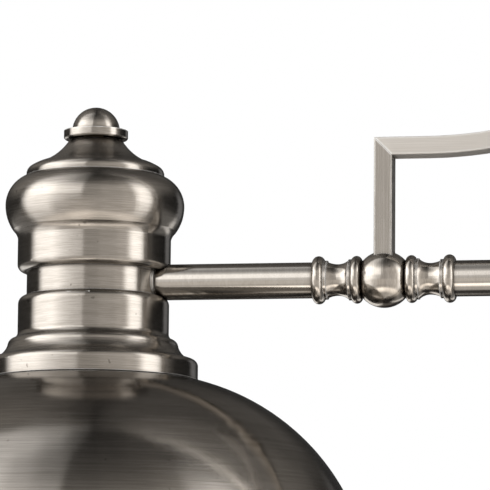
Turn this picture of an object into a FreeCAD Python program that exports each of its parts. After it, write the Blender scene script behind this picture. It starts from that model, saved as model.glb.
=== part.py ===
"""Pharmacy floor lamp: a round weighted foot, a telescopic pole, and a swing arm that carries a dome
shade on a turned cap. A mitred square stay braces the arm from a turned knuckle up to the pole's top.

Frame: millimetres, +Z up, origin on the floor under the pole. The arm points along -X.
"""
import FreeCAD, Part
import math
import os
import sys
from types import SimpleNamespace

import Sketcher
from FreeCAD import Rotation, Vector

# One line per driving dimension: alias, millimetres, meaning.
DIMENSIONS = """
arm_height           1100    floor to the arm's axis
arm_reach            360     pole axis to the shade's axis
knuckle_offset       130     shade's axis to the knuckle's centre
running_gap          0.08    radial play where one piece turns or slides in another
washer_thickness     1       nylon and fibre washers
wall                 1.2     wall of the arm's tubes
spigot_plug          12      length of the swivel spigot inside the tube
spring_washer_radius 8.8     spring washer behind the swivel
lead_bore            3.5     bore that the flex and leads pass through
flex_radius          2.7     sheathed flex inside the tubes
lead_radius          1.1     single insulated lead
lead_offset          1.54    supply and neutral leads, above and below the arm's axis
lead_switch_side     8.5     leads beside the switch, from the shade's axis
lead_upper_bend      6       where the switched lead bends in
lead_lower_bend      -2      where it turns down again
nipple_radius        5       M10 threaded tube and its mates
nut_circumradius     9.8     M10 locknut, 17 across flats
nut_thickness        5       M10 locknut
small_screw_radius   2       M4 grub screws
grub_inset           0.3     how far they stand below the surface

felt_radius          132     felt under the foot
felt_thickness       2       felt under the foot
weight_radius        130     cast disc in the foot
weight_top           18      top of the cast disc
weight_chamfer       4       chamfer round the disc's top edge
weight_hub           22      hub of the disc, up to the cover's boss
weight_recess        10      ceiling of the recess for the locknut
weight_recess_radius 16      recess for the locknut
channel_width        10      flex channel in the disc's underside
channel_top          12      ceiling of the flex channel
cover_radius         140     outside of the foot's spun cover
cover_rim            2.5     lowest edge of the cover
cover_rim_top        13      where the rim turns inward
cover_rim_bend       4       bend at the rim
cover_sheet          1.5     sheet thickness of the cover
cover_step_radius    131.5   foot of the step behind the rim
cover_step_top       23      top of that step
cover_step_bend      6       hollow of that step
cover_crown_radius   46      where the low cone meets the cove
cover_crown_z        31      height there
cover_cove           14      cove up to the boss
cover_boss_radius    32      flat boss under the pole
cover_boss_top       40      height of that boss
bushing_radius       4.6     cord bushing in the cover's rim
bushing_flange       6       flange of the cord bushing
bushing_bore         3       hole through the cord bushing
bushing_z            8.5     height of the cord bushing's axis
bushing_length       12      length of the cord bushing
bushing_lip          2       thickness of the bushing's flange

foot_bead_radius     30      lowest bead of the turned foot
foot_bead_edge       27      edges of that bead
foot_bead_height     8       height of that bead
foot_cove_radius     24      bottom of the foot's cove
foot_cove_top_radius 16.5    top of the foot's cove
foot_cove_top        72      height of the cove's top
foot_cove_sweep      26      radius of the cove's arc
foot_collar_radius   17.5    bead above the cove
foot_collar_top      82      top of that bead
foot_top             88      top of the turned foot
foot_seat            62      where the lower tube stands in the foot
lower_pole_radius    12.7    25.4 mm tube
lower_pole_wall      1.5     its wall
lower_pole_top       640     top of the lower tube
plug_height          20      threaded plug in the tube's foot
upper_pole_radius    9.525   19.05 mm tube
upper_pole_wall      1.5     its wall
upper_pole_foot      330     lower end of the upper tube at rest
stop_ring_radius     11      glide ring on the upper tube's foot
stop_ring_height     12      height of the glide ring
bush_length          25      nylon guide bush
bush_flange          2       its flange on the tube's end

clamp_bottom         616     lower edge of the clamp collar
clamp_top            676     upper edge of the clamp collar
clamp_screw_z        656     axis of the clamp screw
clamp_end_radius     16.6    beads of the clamp collar
clamp_end_edge       15      edges of those beads
clamp_neck_radius    14.4    neck under the clamp collar's ball
clamp_neck_sweep     60      hollow of that neck
clamp_ball_radius    19      ball that the screw passes through
clamp_ball_half      13      half its height
clamp_bead           6       height of the lower bead
clamp_screw_radius   3       M6 clamp screw
clamp_pad_length     2       nylon tip of the screw
clamp_face_half      7       half width of the flat under the knob
clamp_face_depth     1       depth of that flat in the ball
knob_neck_radius     6.5     neck of the clamp knob
knob_neck_length     7       length of that neck
knob_grip_radius     15      grip of the clamp knob
knob_grip_length     9       length of the grip
knob_grip_round      3       rounding of the grip's edges
knob_crown           1.5     rise of the grip's end
knob_scallop_radius  3.6     finger scallops round the grip
knob_scallop_pitch   17      centres of the scallops

seat_radius          13.5    shoulder collar under the hub
seat_height          13      its height
hub_half_height      33      half height of the swing hub
hub_end_radius       13.2    its end faces
hub_bead_radius      15      its end beads
hub_bead_height      6       height of its end beads
hub_neck_radius      12.6    neck beside its ball
hub_ball_radius      22      its ball
hub_ball_half        18      half height of the ball
hub_chamber_radius   14      hollow round the pole for the flex
hub_chamber_half     7       half height of that hollow
hub_socket_start     17      where the arm's socket leaves the ball
hub_socket_end       36      mouth of the arm's socket
hub_socket_radius    9.6     outside of the socket
hub_socket_bead      11      bead at the socket's mouth
hub_socket_edge      9.8     edges of that bead
hub_socket_bead_width 5      width of that bead
hub_tube_stop        20      where the inner tube stops in the hub
hub_grub_at          26      pole axis to the grub screw that holds the tube
window_half          6       half height of the flex window in the upper pole
window_depth         11.4    how far that window reaches round the pole
top_collar_half      11      half height of the stay's collar
top_collar_radius    13.6    its barrel
top_collar_bead      15      its beads
top_collar_edge      13.2    edges of those beads
top_collar_bead_height 5     height of its beads
finial_stem_radius   2.4     M5 stud of the top finial
finial_stem_length   12      its length
mast_plug_height     16      threaded plug in the pole's top

tube_radius          7.94    15.88 mm tube of the arm
ball_radius          12.5    knuckle ball
ball_half            9.8     half length of the ball
sleeve_end           31.5    outer end of a turned sleeve, from the ball's centre
sleeve_socket        27      where a tube stops in its sleeve
sleeve_near_bead     10.5    bead beside the ball
sleeve_near_edge     8.4     edges of that bead
sleeve_near_end      14.4    its outer end
sleeve_near_ring     9.05    thin ring after it
sleeve_near_ring_end 15.5    end of that ring
sleeve_cove_near     8.8     cove's edge towards the ball
sleeve_cove_low      6.95    lowest radius of the cove
sleeve_cove_low_at   20.3    where the cove is lowest
sleeve_cove_far      8       cove's edge away from the ball
sleeve_cove_end      25      where the cove ends
sleeve_far_ring      8.6     thin ring beyond the cove
sleeve_far_ring_end  26.3    end of that ring
sleeve_far_bead      10.6    bead at the tube
sleeve_far_edge      8.5     edges of that bead
stud_end             24      half length of the stud inside the knuckle

stay_width           8       square bar, seen from the front
stay_depth           12.7    the bar from front to back
stay_round           0.5     rounding of the bar's long edges
stay_height          58.4    arm's axis to the bar's centre line
stay_seat            7.5     arm's axis to the post's foot inside the ball
stay_flat            20      post's centre line to where the bar starts to rise
stay_sweep           190     radius of the rising sweep
stay_rise            56      how far the bar rises to the collar
stay_tail            12.5    pole axis to the bar's end in the collar

neck_radius          29.8    cap's neck, where the arm enters
neck_top             5       upper end of the neck, from the arm's axis
neck_bottom          -6.2    lower end of the neck
seat_depth           27.5    shade's axis to the flat seat in the neck
seat_clearance       8.2     counterbore round the arm's tube
boss_radius          11      boss behind the seat
boss_face            21.5    its flat inner face
boss_length          7.3     its length, into the neck's wall
band_radius          34      upper band
band_bottom          7.8     lower edge of the upper band
band_top             19.5    upper edge of the upper band
bulb_foot_radius     36.2    where the band's fillet meets the bulb
bulb_foot_z          23.3    height there
bulb_radius          39.8    widest part of the cap
bulb_z               34.5    height of the widest part
bulb_mouth_radius    30.9    upper edge of the bulb
bulb_top             47.5    height of that edge
bulb_fillet          7.2     hollow between band and bulb
bulb_lower_round     19.2    rounding below the widest part
bulb_upper_round     14      rounding above it
lower_band_radius    33.5    lower band
lower_band_top       -9.8    its upper edge
lower_band_bottom    -22.7   its lower edge
band_round           3.05    rounded edge of the upper band
lower_band_round     3.6     rounded edge of the lower band
shoulder_radius      35.3    small shoulder under the lower band
shoulder_z           -25.3   height of the shoulder
shoulder_round       3.2     roundings of the shoulder
skirt_radius         37.8    top of the flared skirt
skirt_z              -28.2   height there
skirt_sweep          9       hollow of the skirt
flange_top_radius    41.7    where the skirt meets the flange
flange_top           -33.3   height there
flange_round         2.8     rounding of the flange's upper edge
flange_radius        46.6    flange over the shade
flange_edge          -36.8   where its rim turns vertical
flange_bottom        -43.4   lower edge of the flange
flange_land          43.3    inner edge of the flange's land
flange_land_z        -42.75  height of that inner edge
cap_wall             2.6     wall of the casting
mouth_radius         28.8    opening under the crown
mouth_depth          44.5    depth to which that opening is straight

crown_top            64.1    flat top of the crown
crown_neck           11.9    radius of that flat
crown_sweep          26      hollow of the crown
crown_foot_radius    22.7    where the hollow meets the roll
crown_foot_z         54.6    height there
roll_radius          30.7    widest part of the roll
roll_z               48.8    height of the widest part
roll_round           3.6     rounding of its outer edge
roll_edge_radius     29      where that rounding ends
roll_edge_z          51.85   height there
roll_top_round       23.5    rounding of its upper side
spigot_radius        28.6    spigot of the crown in the body
spigot_bottom        43.5    lower edge of that spigot
spigot_bore          26.6    inside of the spigot
crown_ceiling        61.9    inside of the crown's top
crown_inner_neck     10.1    inside of the crown, at its top
crown_inner_foot     17.9    inside of the crown, at its foot
switch_hole          4.9     hole for the switch's bushing

turn_ring_radius     14.3    ring of the turn knob
turn_ring_bottom     64.6    lower edge of the ring
turn_ring_top        68.5    upper edge of the ring
turn_ring_round      1       rounding of the ring's lower edge
turn_dome            10.6    half ball on the ring
turn_recess_radius   9       recess over the switch's nut
turn_recess_top      66.8    ceiling of that recess
shaft_radius         3       switch shaft
shaft_bottom         46      lower end of the shaft
shaft_top            75      upper end of the shaft
switch_radius        9.6     switch can
switch_bottom        42      lower face of the can
switch_top           61.9    upper face of the can
switch_bushing       4.75    threaded bushing of the switch
switch_bushing_top   66.6    its upper end
switch_nut_radius    8.1     nut on that bushing
switch_nut_top       66.3    its upper face

dome_offset          25      radius of the flat crown of the shade
dome_round           99.2    radius of the shade's section
dome_z               -140.4  height of the shade's widest point
dome_sheet           1       sheet thickness of the shade
dome_hole            20.2    hole for the lampholder
rim_flare_top        -145.5  where the rim starts to flare
rim_flare            3       hollow of the flare
rim_band_top         -150.5  upper edge of the rim's band
rim_band_radius      129.2   outside of the rim's band
rim_round            2       rounding above the band
rim_bead_z           -160    centre of the rolled edge
rim_bead             1.9     radius of the rolled edge
rim_bead_offset      128.5   centre line of the rolled edge

bracket_top          -14     upper face of the lampholder's bracket
bracket_thickness    2       its thickness
bracket_half_length  29      half its length
bracket_half_width   6       half its width
bracket_screw_offset 26      its two screws
lug_inner            22.5    inner face of the cast lugs
lug_half_width       5       half width of a lug
lug_length           10      length of a lug, into the casting's wall
lug_top              -7.5    upper face of a lug
m3_radius            1.45    bracket screws
m3_head_radius       2.8     their heads
m3_head_height       1.9     their heads
m3_length            6.5     their shanks
holder_top           -16     top of the lampholder
holder_neck          13      its neck
holder_shoulder      -24     shoulder under the neck
holder_radius        19.9    its threaded skirt
holder_bottom        -66     its lower edge
holder_bore          14.6    its bore
holder_floor         -32     floor of that bore
nipple_bottom        -28     lower end of the lampholder's nipple
nipple_top           -9      upper end of that nipple
socket_nut_height    4       nut on that nipple
shell_radius         14.5    screw shell
shell_sheet          0.6     its sheet
shell_bottom         -59     its lower edge
shell_top            -33     its upper edge
contact_radius       4       centre contact
contact_thickness    0.8     its thickness
ring_nut_radius      24.9    ring nut that holds the shade
ring_nut_top         -42.2   its upper face
ring_nut_height      6       its height

glass_neck           14.2    neck of the bulb
glass_bottom_z       -137    lowest point of the bulb
glass_round          30      ball of the bulb
glass_shoulder       26      where the ball turns into the neck
glass_shoulder_z     -92     height there
glass_neck_z         -64     where the neck straightens
glass_sweep          70      hollow between ball and neck
glass_sheet          0.8     its glass
glass_top            -60     where glass meets cap
lamp_cap_radius      13.3    screw cap of the bulb
lamp_cap_tip         -33.1   tip of the screw cap
lamp_cap_shoulder    -37     where the cap narrows to its tip
lamp_cap_tip_radius  4.5     tip of the screw cap
"""


class Size:
    """A length that remembers the sheet expression it came from, through sums and products."""

    def __init__(self, value, text):
        self.value = value
        self.text = text

    @staticmethod
    def of(other):
        return other if isinstance(other, Size) else Size(float(other), repr(float(other)))

    def __add__(self, other):
        other = Size.of(other)
        return Size(self.value + other.value, f"({self.text} + {other.text})")

    def __sub__(self, other):
        other = Size.of(other)
        return Size(self.value - other.value, f"({self.text} - {other.text})")

    def __mul__(self, other):
        other = Size.of(other)
        return Size(self.value * other.value, f"({self.text} * {other.text})")

    def __truediv__(self, other):
        other = Size.of(other)
        return Size(self.value / other.value, f"({self.text} / {other.text})")

    def __radd__(self, other):
        return Size.of(other) + self

    def __rsub__(self, other):
        return Size.of(other) - self

    def __rmul__(self, other):
        return Size.of(other) * self

    def __neg__(self):
        return Size(-self.value, f"(-{self.text})")


def read_sheet(sheet):
    """Fills the sheet from DIMENSIONS and returns its aliases as sizes."""
    sizes = {}
    lines = [line.split(None, 2) for line in DIMENSIONS.splitlines() if line.strip()]
    for row, (alias, value, meaning) in enumerate(lines, start=1):
        sheet.set(f"A{row}", alias)
        sheet.set(f"B{row}", value)
        sheet.set(f"C{row}", meaning)
        sheet.setAlias(f"B{row}", alias)
        sizes[alias] = Size(float(value), f"Dims.{alias}")
    return SimpleNamespace(**sizes)


doc = FreeCAD.newDocument("PharmacyFloorLamp")
dims_sheet = doc.addObject("Spreadsheet::Sheet", "Dims")
d = read_sheet(dims_sheet)
doc.recompute()

BULGE = 1  # an arc whose centre is on the material's side of an outline drawn anticlockwise
HOLLOW = -1  # an arc whose centre is on the open side
KNOB_SCALLOPS = 8  # finger scallops round the clamp knob
LENGTHWISE = 0.8  # an edge whose direction has this share along the bar is one of its long edges
TOUCHING = 1e-6
UP = Rotation()
ALONG_ARM = Rotation(Vector(0, 1, 0), -90)  # local +Z points along -X, from the pole to the shade
TOWARDS_RIGHT = Rotation(Vector(0, 1, 0), 90)  # local +Z points along +X
TOWARDS_BACK = Rotation(Vector(1, 0, 0), -90)  # local +Z points along +Y
DOWN = Rotation(Vector(1, 0, 0), 180)

nodes = []


# Modelling helpers


def bind(item, **sizes):
    """Binds properties such as Radius or Height to sheet expressions."""
    for name, size in sizes.items():
        item.setExpression(name, Size.of(size).text)
    return item


def place(item, x=0, y=0, z=0, rotation=UP):
    """Places an object, with each coordinate bound to the sheet."""
    x, y, z = Size.of(x), Size.of(y), Size.of(z)
    item.Placement = FreeCAD.Placement(Vector(x.value, y.value, z.value), rotation)
    item.setExpression("Placement.Base.x", x.text)
    item.setExpression("Placement.Base.y", y.text)
    item.setExpression("Placement.Base.z", z.text)
    return item


def node(item, label):
    """Makes an object one of the lamp's pieces, under its own name."""
    item.Label = label
    nodes.append(item)
    return item


def arc_between(start, end, radius, side):
    """The minor arc from start to end, whose centre is on the left (side 1) or the right (side -1)."""
    chord = end - start
    middle = (start + end) * 0.5
    height = math.sqrt(max(radius * radius - chord.Length**2 / 4, 0.0))
    left = Vector(-chord.y, chord.x, 0).normalize()
    centre = middle + left * (height * side)
    first, last = (start, end) if side == BULGE else (end, start)
    angles = [math.atan2(p.y - centre.y, p.x - centre.x) for p in (first, last)]
    return Part.ArcOfCircle(Part.Circle(centre, Vector(0, 0, 1), radius), *angles)


def crown_radius(half_chord, rise):
    """Radius of an arc that rises by so much over half its chord."""
    return (half_chord * half_chord + rise * rise) / (rise * 2)


def bead(edge, peak, low, high):
    """Outline entries for a rounded bead from (edge, low), through its peak, to (edge, high)."""
    half = (high - low) / 2
    radius = crown_radius(half, peak - edge)
    return [(peak, low + half, radius, BULGE), (edge, high, radius, BULGE)]


def outline_sketch(body, name, outline, plane="XZ_Plane"):
    """A closed, fully constrained sketch. Each outline entry is (across, up) for a straight run to that
    point, or (across, up, radius, side) for an arc to it. The first entry closes the outline."""
    sketch = body.newObject("Sketcher::SketchObject", name)
    support = next(f for f in body.Origin.OriginFeatures if f.Role == plane)
    sketch.AttachmentSupport = [(support, "")]
    sketch.MapMode = "FlatFace"
    steps = [tuple(Size.of(v) for v in entry[:3]) + tuple(entry[3:]) for entry in outline]
    points = [Vector(step[0].value, step[1].value, 0) for step in steps]
    starts = []
    for index, step in enumerate(steps):
        start, end = points[index - 1], points[index]
        if len(step) == 2:
            sketch.addGeometry(Part.LineSegment(start, end), False)
            starts.append((1, 2))
        else:
            sketch.addGeometry(arc_between(start, end, step[2].value, step[3]), False)
            starts.append((1, 2) if step[3] == BULGE else (2, 1))
    count = len(steps)
    for index, step in enumerate(steps):
        following = (index + 1) % count
        end_vertex = starts[index][1]
        sketch.addConstraint(
            Sketcher.Constraint("Coincident", index, end_vertex, following, starts[following][0])
        )
        if step[0].value == 0:
            sketch.addConstraint(Sketcher.Constraint("PointOnObject", index, end_vertex, -2))
        else:
            across = Sketcher.Constraint("DistanceX", -1, 1, index, end_vertex, step[0].value)
            sketch.setExpression(f"Constraints[{sketch.addConstraint(across)}]", step[0].text)
        up = Sketcher.Constraint("DistanceY", -1, 1, index, end_vertex, step[1].value)
        sketch.setExpression(f"Constraints[{sketch.addConstraint(up)}]", step[1].text)
        if len(step) > 2:
            radius = Sketcher.Constraint("Radius", index, step[2].value)
            sketch.setExpression(f"Constraints[{sketch.addConstraint(radius)}]", step[2].text)
    return sketch


def turned(name, outline, **placing):
    """A body turned about its local Z axis from an outline of (radius, height) points."""
    body = doc.addObject("PartDesign::Body", name)
    doc.recompute()
    sketch = outline_sketch(body, f"{name}_outline", outline)
    turning = body.newObject("PartDesign::Revolution", f"{name}_turning")
    turning.Profile = sketch
    turning.ReferenceAxis = (sketch, ["V_Axis"])
    turning.Angle = 360
    return place(body, **placing)


def padded(name, outline, depth):
    """A body cut from plate of the given depth, centred on the arm's plane."""
    body = doc.addObject("PartDesign::Body", name)
    doc.recompute()
    sketch = outline_sketch(body, f"{name}_outline", outline)
    pad = body.newObject("PartDesign::Pad", f"{name}_pad")
    pad.Profile = sketch
    pad.SideType = "Symmetric"
    bind(pad, Length=depth)
    return body, pad


def tube(name, bore, radius, low, high, **placing):
    """A plain tube, washer or ring."""
    return turned(name, [(bore, low), (radius, low), (radius, high), (bore, high)], **placing)


def rod(name, radius, low, high, **placing):
    """A plain round bar."""
    return turned(name, [(0, low), (radius, low), (radius, high), (0, high)], **placing)


def drill(name, radius, length, **placing):
    """A cylinder used as a cutting tool or a boss."""
    return place(bind(doc.addObject("Part::Cylinder", name), Radius=radius, Height=length), **placing)


def block(name, length, width, height, **placing):
    """A box whose corner is at its placement."""
    item = bind(doc.addObject("Part::Box", name), Length=length, Width=width, Height=height)
    return place(item, **placing)


def cut(name, base, *tools):
    """The base with each tool cut from it in turn."""
    for index, tool in enumerate(tools):
        step = doc.addObject("Part::Cut", f"{name}_cut{index}")
        step.Base, step.Tool = base, tool
        base = step
    return base


def fused(name, *pieces):
    """Several shapes made into one solid."""
    item = doc.addObject("Part::MultiFuse", name)
    item.Shapes = list(pieces)
    item.Refine = True
    return item


def hex_nut(name, bore, circumradius, low, high, x=0, z=0, rotation=UP):
    """A hexagon nut along its local Z axis."""
    prism = doc.addObject("Part::Prism", f"{name}_hexagon")
    prism.Polygon = 6
    bind(prism, Circumradius=circumradius, Height=high - low)
    shift = rotation.multVec(Vector(0, 0, 1))
    low_x, low_z = x + low * shift.x, z + low * shift.z
    place(prism, x=low_x, z=low_z, rotation=rotation)
    hole = drill(f"{name}_hole", bore, high - low, x=low_x, z=low_z, rotation=rotation)
    return cut(name, prism, hole)


def run_with_bends(points, bend):
    """A wire of straight runs through points, with an arc of the bend radius at each inner point."""
    edges = []
    at = points[0]
    for before, corner, after in zip(points, points[1:], points[2:]):
        arriving = (corner - before).normalize()
        leaving = (after - corner).normalize()
        half_turn = arriving.getAngle(leaving) / 2
        setback = bend * math.tan(half_turn)
        arc_start, arc_end = corner - arriving * setback, corner + leaving * setback
        inward = (leaving - arriving).normalize()
        middle = corner + inward * (bend / math.cos(half_turn) - bend)
        edges.append(Part.makeLine(at, arc_start))
        edges.append(Part.Arc(arc_start, middle, arc_end).toShape())
        at = arc_end
    edges.append(Part.makeLine(at, points[-1]))
    return Part.Wire(edges)


def insulated_lead(name, points, at):
    """One lead swept along its route inside the cap."""
    radius = d.lead_radius.value
    path = run_with_bends([Vector(*p) for p in points], 2.5 * radius)
    start = path.Edges[0]
    direction = start.tangentAt(start.FirstParameter)
    circle = Part.Wire(Part.makeCircle(radius, Vector(*points[0]), direction))
    item = doc.addObject("Part::Feature", name)
    item.Shape = path.makePipeShell([circle], True, False)
    item.Placement = FreeCAD.Placement(at, UP)
    return item


# Foot: felt, cast disc, spun cover, and the hardware that draws the pole down onto them


def make_foot():
    node(rod("felt", d.felt_radius, 0, d.felt_thickness), "felt_pad")

    disc = turned(
        "disc",
        [
            (d.nipple_radius, d.felt_thickness),
            (d.weight_radius, d.felt_thickness),
            (d.weight_radius, d.weight_top - d.weight_chamfer),
            (d.weight_radius - d.weight_chamfer, d.weight_top),
            (d.weight_hub, d.weight_top),
            (d.weight_hub, d.cover_boss_top - d.cover_sheet),
            (d.nipple_radius, d.cover_boss_top - d.cover_sheet),
        ],
    )
    recess = drill(
        "disc_recess",
        d.weight_recess_radius,
        d.weight_recess - d.felt_thickness,
        z=d.felt_thickness,
    )
    channel = block(
        "disc_channel",
        d.channel_width,
        d.weight_radius,
        d.channel_top - d.felt_thickness,
        x=-d.channel_width / 2,
        z=d.felt_thickness,
    )
    node(cut("disc", disc, recess, channel), "base_weight")

    sheet = d.cover_sheet
    cover = turned(
        "cover",
        [
            (d.cover_radius - sheet, d.cover_rim),
            (d.cover_radius, d.cover_rim),
            (d.cover_radius, d.cover_rim_top),
            (d.cover_radius - d.cover_rim_bend, d.cover_rim_top + d.cover_rim_bend, d.cover_rim_bend, BULGE),
            (d.cover_step_radius, d.cover_rim_top + d.cover_rim_bend),
            (
                d.cover_step_radius - d.cover_step_bend,
                d.cover_step_top,
                d.cover_step_bend,
                HOLLOW,
            ),
            (d.cover_crown_radius, d.cover_crown_z),
            (d.cover_boss_radius, d.cover_boss_top, d.cover_cove, HOLLOW),
            (d.nipple_radius, d.cover_boss_top),
            (d.nipple_radius, d.cover_boss_top - sheet),
            (d.cover_boss_radius - sheet, d.cover_boss_top - sheet),
            (d.cover_crown_radius - sheet, d.cover_crown_z - sheet, d.cover_cove + sheet, BULGE),
            (d.cover_step_radius - d.cover_step_bend - sheet, d.cover_step_top - sheet),
            (d.weight_radius + sheet / 2, d.cover_rim_top + d.cover_rim_bend - sheet),
            (d.cover_radius - d.cover_rim_bend, d.cover_rim_top + d.cover_rim_bend - sheet),
            (d.cover_radius - sheet, d.cover_rim_top, d.cover_rim_bend - sheet, HOLLOW),
        ],
    )
    at_edge = {"y": d.weight_radius, "z": d.bushing_z, "rotation": TOWARDS_BACK}
    outlet = drill("cover_outlet", d.bushing_radius, d.bushing_length, **at_edge)
    node(cut("cover", cover, outlet), "base_cover")

    lip_start = d.cover_radius - d.weight_radius
    lip_end = lip_start + d.bushing_lip
    bushing = turned(
        "bushing",
        [
            (d.bushing_bore, lip_end - d.bushing_length),
            (d.bushing_radius, lip_end - d.bushing_length),
            (d.bushing_radius, lip_start),
            (d.bushing_flange, lip_start),
            (d.bushing_flange, lip_end),
            (d.bushing_bore, lip_end),
        ],
        **at_edge,
    )
    node(bushing, "cord_bushing")

    node(
        tube("foot_nipple", d.lead_bore, d.nipple_radius, d.felt_thickness, d.foot_seat + d.plug_height),
        "base_nipple",
    )
    washer_bottom = d.weight_recess - d.washer_thickness
    node(
        tube("foot_washer", d.nipple_radius, d.nut_circumradius, washer_bottom, d.weight_recess),
        "base_washer",
    )
    node(
        hex_nut(
            "foot_nut", d.nipple_radius, d.nut_circumradius, washer_bottom - d.nut_thickness, washer_bottom
        ),
        "base_locknut",
    )


# Pole: turned foot, lower tube, guide bush, clamp collar and its knob


def make_lower_pole():
    bead_top = d.cover_boss_top + d.foot_bead_height
    seat_radius = d.lower_pole_radius
    node(
        turned(
            "foot",
            [
                (d.nipple_radius, d.cover_boss_top),
                (d.foot_bead_edge, d.cover_boss_top),
                *bead(d.foot_bead_edge, d.foot_bead_radius, d.cover_boss_top, bead_top),
                (d.foot_cove_radius, bead_top),
                (d.foot_cove_radius, bead_top + d.washer_thickness),
                (d.foot_cove_top_radius, d.foot_cove_top, d.foot_cove_sweep, HOLLOW),
                (d.foot_collar_radius, d.foot_cove_top),
                (d.foot_collar_radius, d.foot_cove_top + d.washer_thickness),
                (d.foot_cove_top_radius, d.foot_cove_top + d.washer_thickness),
                *bead(
                    d.foot_cove_top_radius,
                    d.foot_collar_radius + d.washer_thickness,
                    d.foot_cove_top + d.washer_thickness,
                    d.foot_collar_top,
                ),
                (d.foot_cove_top_radius - d.washer_thickness, d.foot_collar_top),
                (d.foot_cove_top_radius - d.washer_thickness, d.foot_top),
                (seat_radius, d.foot_top),
                (seat_radius, d.foot_seat),
                (d.nipple_radius, d.foot_seat),
            ],
        ),
        "pole_foot",
    )
    inside = d.lower_pole_radius - d.lower_pole_wall
    node(
        tube("plug", d.nipple_radius, inside, d.foot_seat, d.foot_seat + d.plug_height),
        "pole_plug",
    )
    node(
        tube("lower_tube", inside, d.lower_pole_radius, d.foot_seat, d.lower_pole_top),
        "lower_pole",
    )
    guide = d.upper_pole_radius + d.running_gap
    node(
        turned(
            "bush",
            [
                (guide, d.lower_pole_top - d.bush_length),
                (inside, d.lower_pole_top - d.bush_length),
                (inside, d.lower_pole_top),
                (d.lower_pole_radius, d.lower_pole_top),
                (d.lower_pole_radius, d.lower_pole_top + d.bush_flange),
                (guide, d.lower_pole_top + d.bush_flange),
            ],
        ),
        "guide_bush",
    )


def make_clamp():
    ball = d.clamp_ball_radius
    ball_bottom = d.clamp_screw_z - d.clamp_ball_half
    ball_top = d.clamp_screw_z + d.clamp_ball_half
    bead_top = d.clamp_bottom + d.clamp_bead
    collar = turned(
        "collar",
        [
            (d.lower_pole_radius, d.clamp_bottom),
            (d.clamp_end_edge, d.clamp_bottom),
            *bead(d.clamp_end_edge, d.clamp_end_radius, d.clamp_bottom, bead_top),
            (d.clamp_neck_radius, bead_top),
            (d.clamp_neck_radius, ball_bottom, d.clamp_neck_sweep, HOLLOW),
            *bead(d.clamp_neck_radius, ball, ball_bottom, ball_top),
            (d.clamp_end_edge, ball_top),
            *bead(d.clamp_end_edge, d.clamp_end_radius, ball_top, d.clamp_top),
            (d.upper_pole_radius + d.running_gap, d.clamp_top),
            (d.upper_pole_radius + d.running_gap, d.lower_pole_top + d.bush_flange),
            (d.lower_pole_radius, d.lower_pole_top + d.bush_flange),
        ],
    )
    screw_hole = drill(
        "collar_hole",
        d.clamp_screw_radius + d.running_gap / 2,
        ball * 2,
        z=d.clamp_screw_z,
        rotation=TOWARDS_RIGHT,
    )
    face = block(
        "collar_face",
        ball,
        d.clamp_face_half * 2,
        d.clamp_face_half * 2,
        x=ball - d.clamp_face_depth,
        y=-d.clamp_face_half,
        z=d.clamp_screw_z - d.clamp_face_half,
    )
    node(cut("collar", collar, screw_hole, face), "clamp_collar")

    pad_start = d.upper_pole_radius + d.running_gap
    pad_end = pad_start + d.clamp_pad_length
    along = {"z": d.clamp_screw_z, "rotation": TOWARDS_RIGHT}
    node(rod("clamp_tip", d.clamp_screw_radius - d.running_gap, pad_start, pad_end, **along), "clamp_pad")
    neck = ball + d.running_gap * 2
    grip = neck + d.knob_neck_length
    end = grip + d.knob_grip_length
    node(rod("clamp_shank", d.clamp_screw_radius, pad_end, grip, **along), "clamp_screw")
    node(clamp_knob_body(neck, grip, end, along), "clamp_knob")


def clamp_knob_body(neck, grip, end, along):
    """Turned grip with scallops for the fingers, made as one pocket and a polar pattern."""
    edge, crown = d.knob_grip_round, d.knob_crown
    body = turned(
        "knob",
        [
            (d.clamp_screw_radius, neck),
            (d.knob_neck_radius, neck),
            (d.knob_neck_radius - d.washer_thickness, grip, d.knob_neck_length, HOLLOW),
            (d.knob_grip_radius - edge, grip),
            (d.knob_grip_radius, grip + edge, edge, BULGE),
            (d.knob_grip_radius, end - edge),
            (d.knob_grip_radius - edge, end, edge, BULGE),
            (0, end + crown, crown_radius(d.knob_grip_radius - edge, crown), BULGE),
            (0, grip),
            (d.clamp_screw_radius, grip),
        ],
        **along,
    )
    doc.recompute()
    sketch = body.newObject("Sketcher::SketchObject", "knob_scallop")
    support = next(f for f in body.Origin.OriginFeatures if f.Role == "XY_Plane")
    sketch.AttachmentSupport = [(support, "")]
    sketch.MapMode = "FlatFace"
    centre = Vector(d.knob_scallop_pitch.value, 0, 0)
    sketch.addGeometry(Part.Circle(centre, Vector(0, 0, 1), d.knob_scallop_radius.value), False)
    sketch.addConstraint(Sketcher.Constraint("PointOnObject", 0, 3, -1))
    pitch = Sketcher.Constraint("DistanceX", -1, 1, 0, 3, d.knob_scallop_pitch.value)
    sketch.setExpression(f"Constraints[{sketch.addConstraint(pitch)}]", d.knob_scallop_pitch.text)
    radius = Sketcher.Constraint("Radius", 0, d.knob_scallop_radius.value)
    sketch.setExpression(f"Constraints[{sketch.addConstraint(radius)}]", d.knob_scallop_radius.text)
    pocket = body.newObject("PartDesign::Pocket", "knob_scallop_cut")
    pocket.Profile = sketch
    pocket.Type = "ThroughAll"
    pocket.Reversed = True
    doc.recompute()
    pattern = body.newObject("PartDesign::PolarPattern", "knob_scallops")
    pattern.Originals = [pocket]
    pattern.Axis = (next(f for f in body.Origin.OriginFeatures if f.Role == "Z_Axis"), [""])
    pattern.Angle = 360
    pattern.Occurrences = KNOB_SCALLOPS
    body.Tip = pattern
    return body


# Upper pole: the sliding tube, its glide ring, the shoulder that the arm swings on, and the finial


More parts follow.
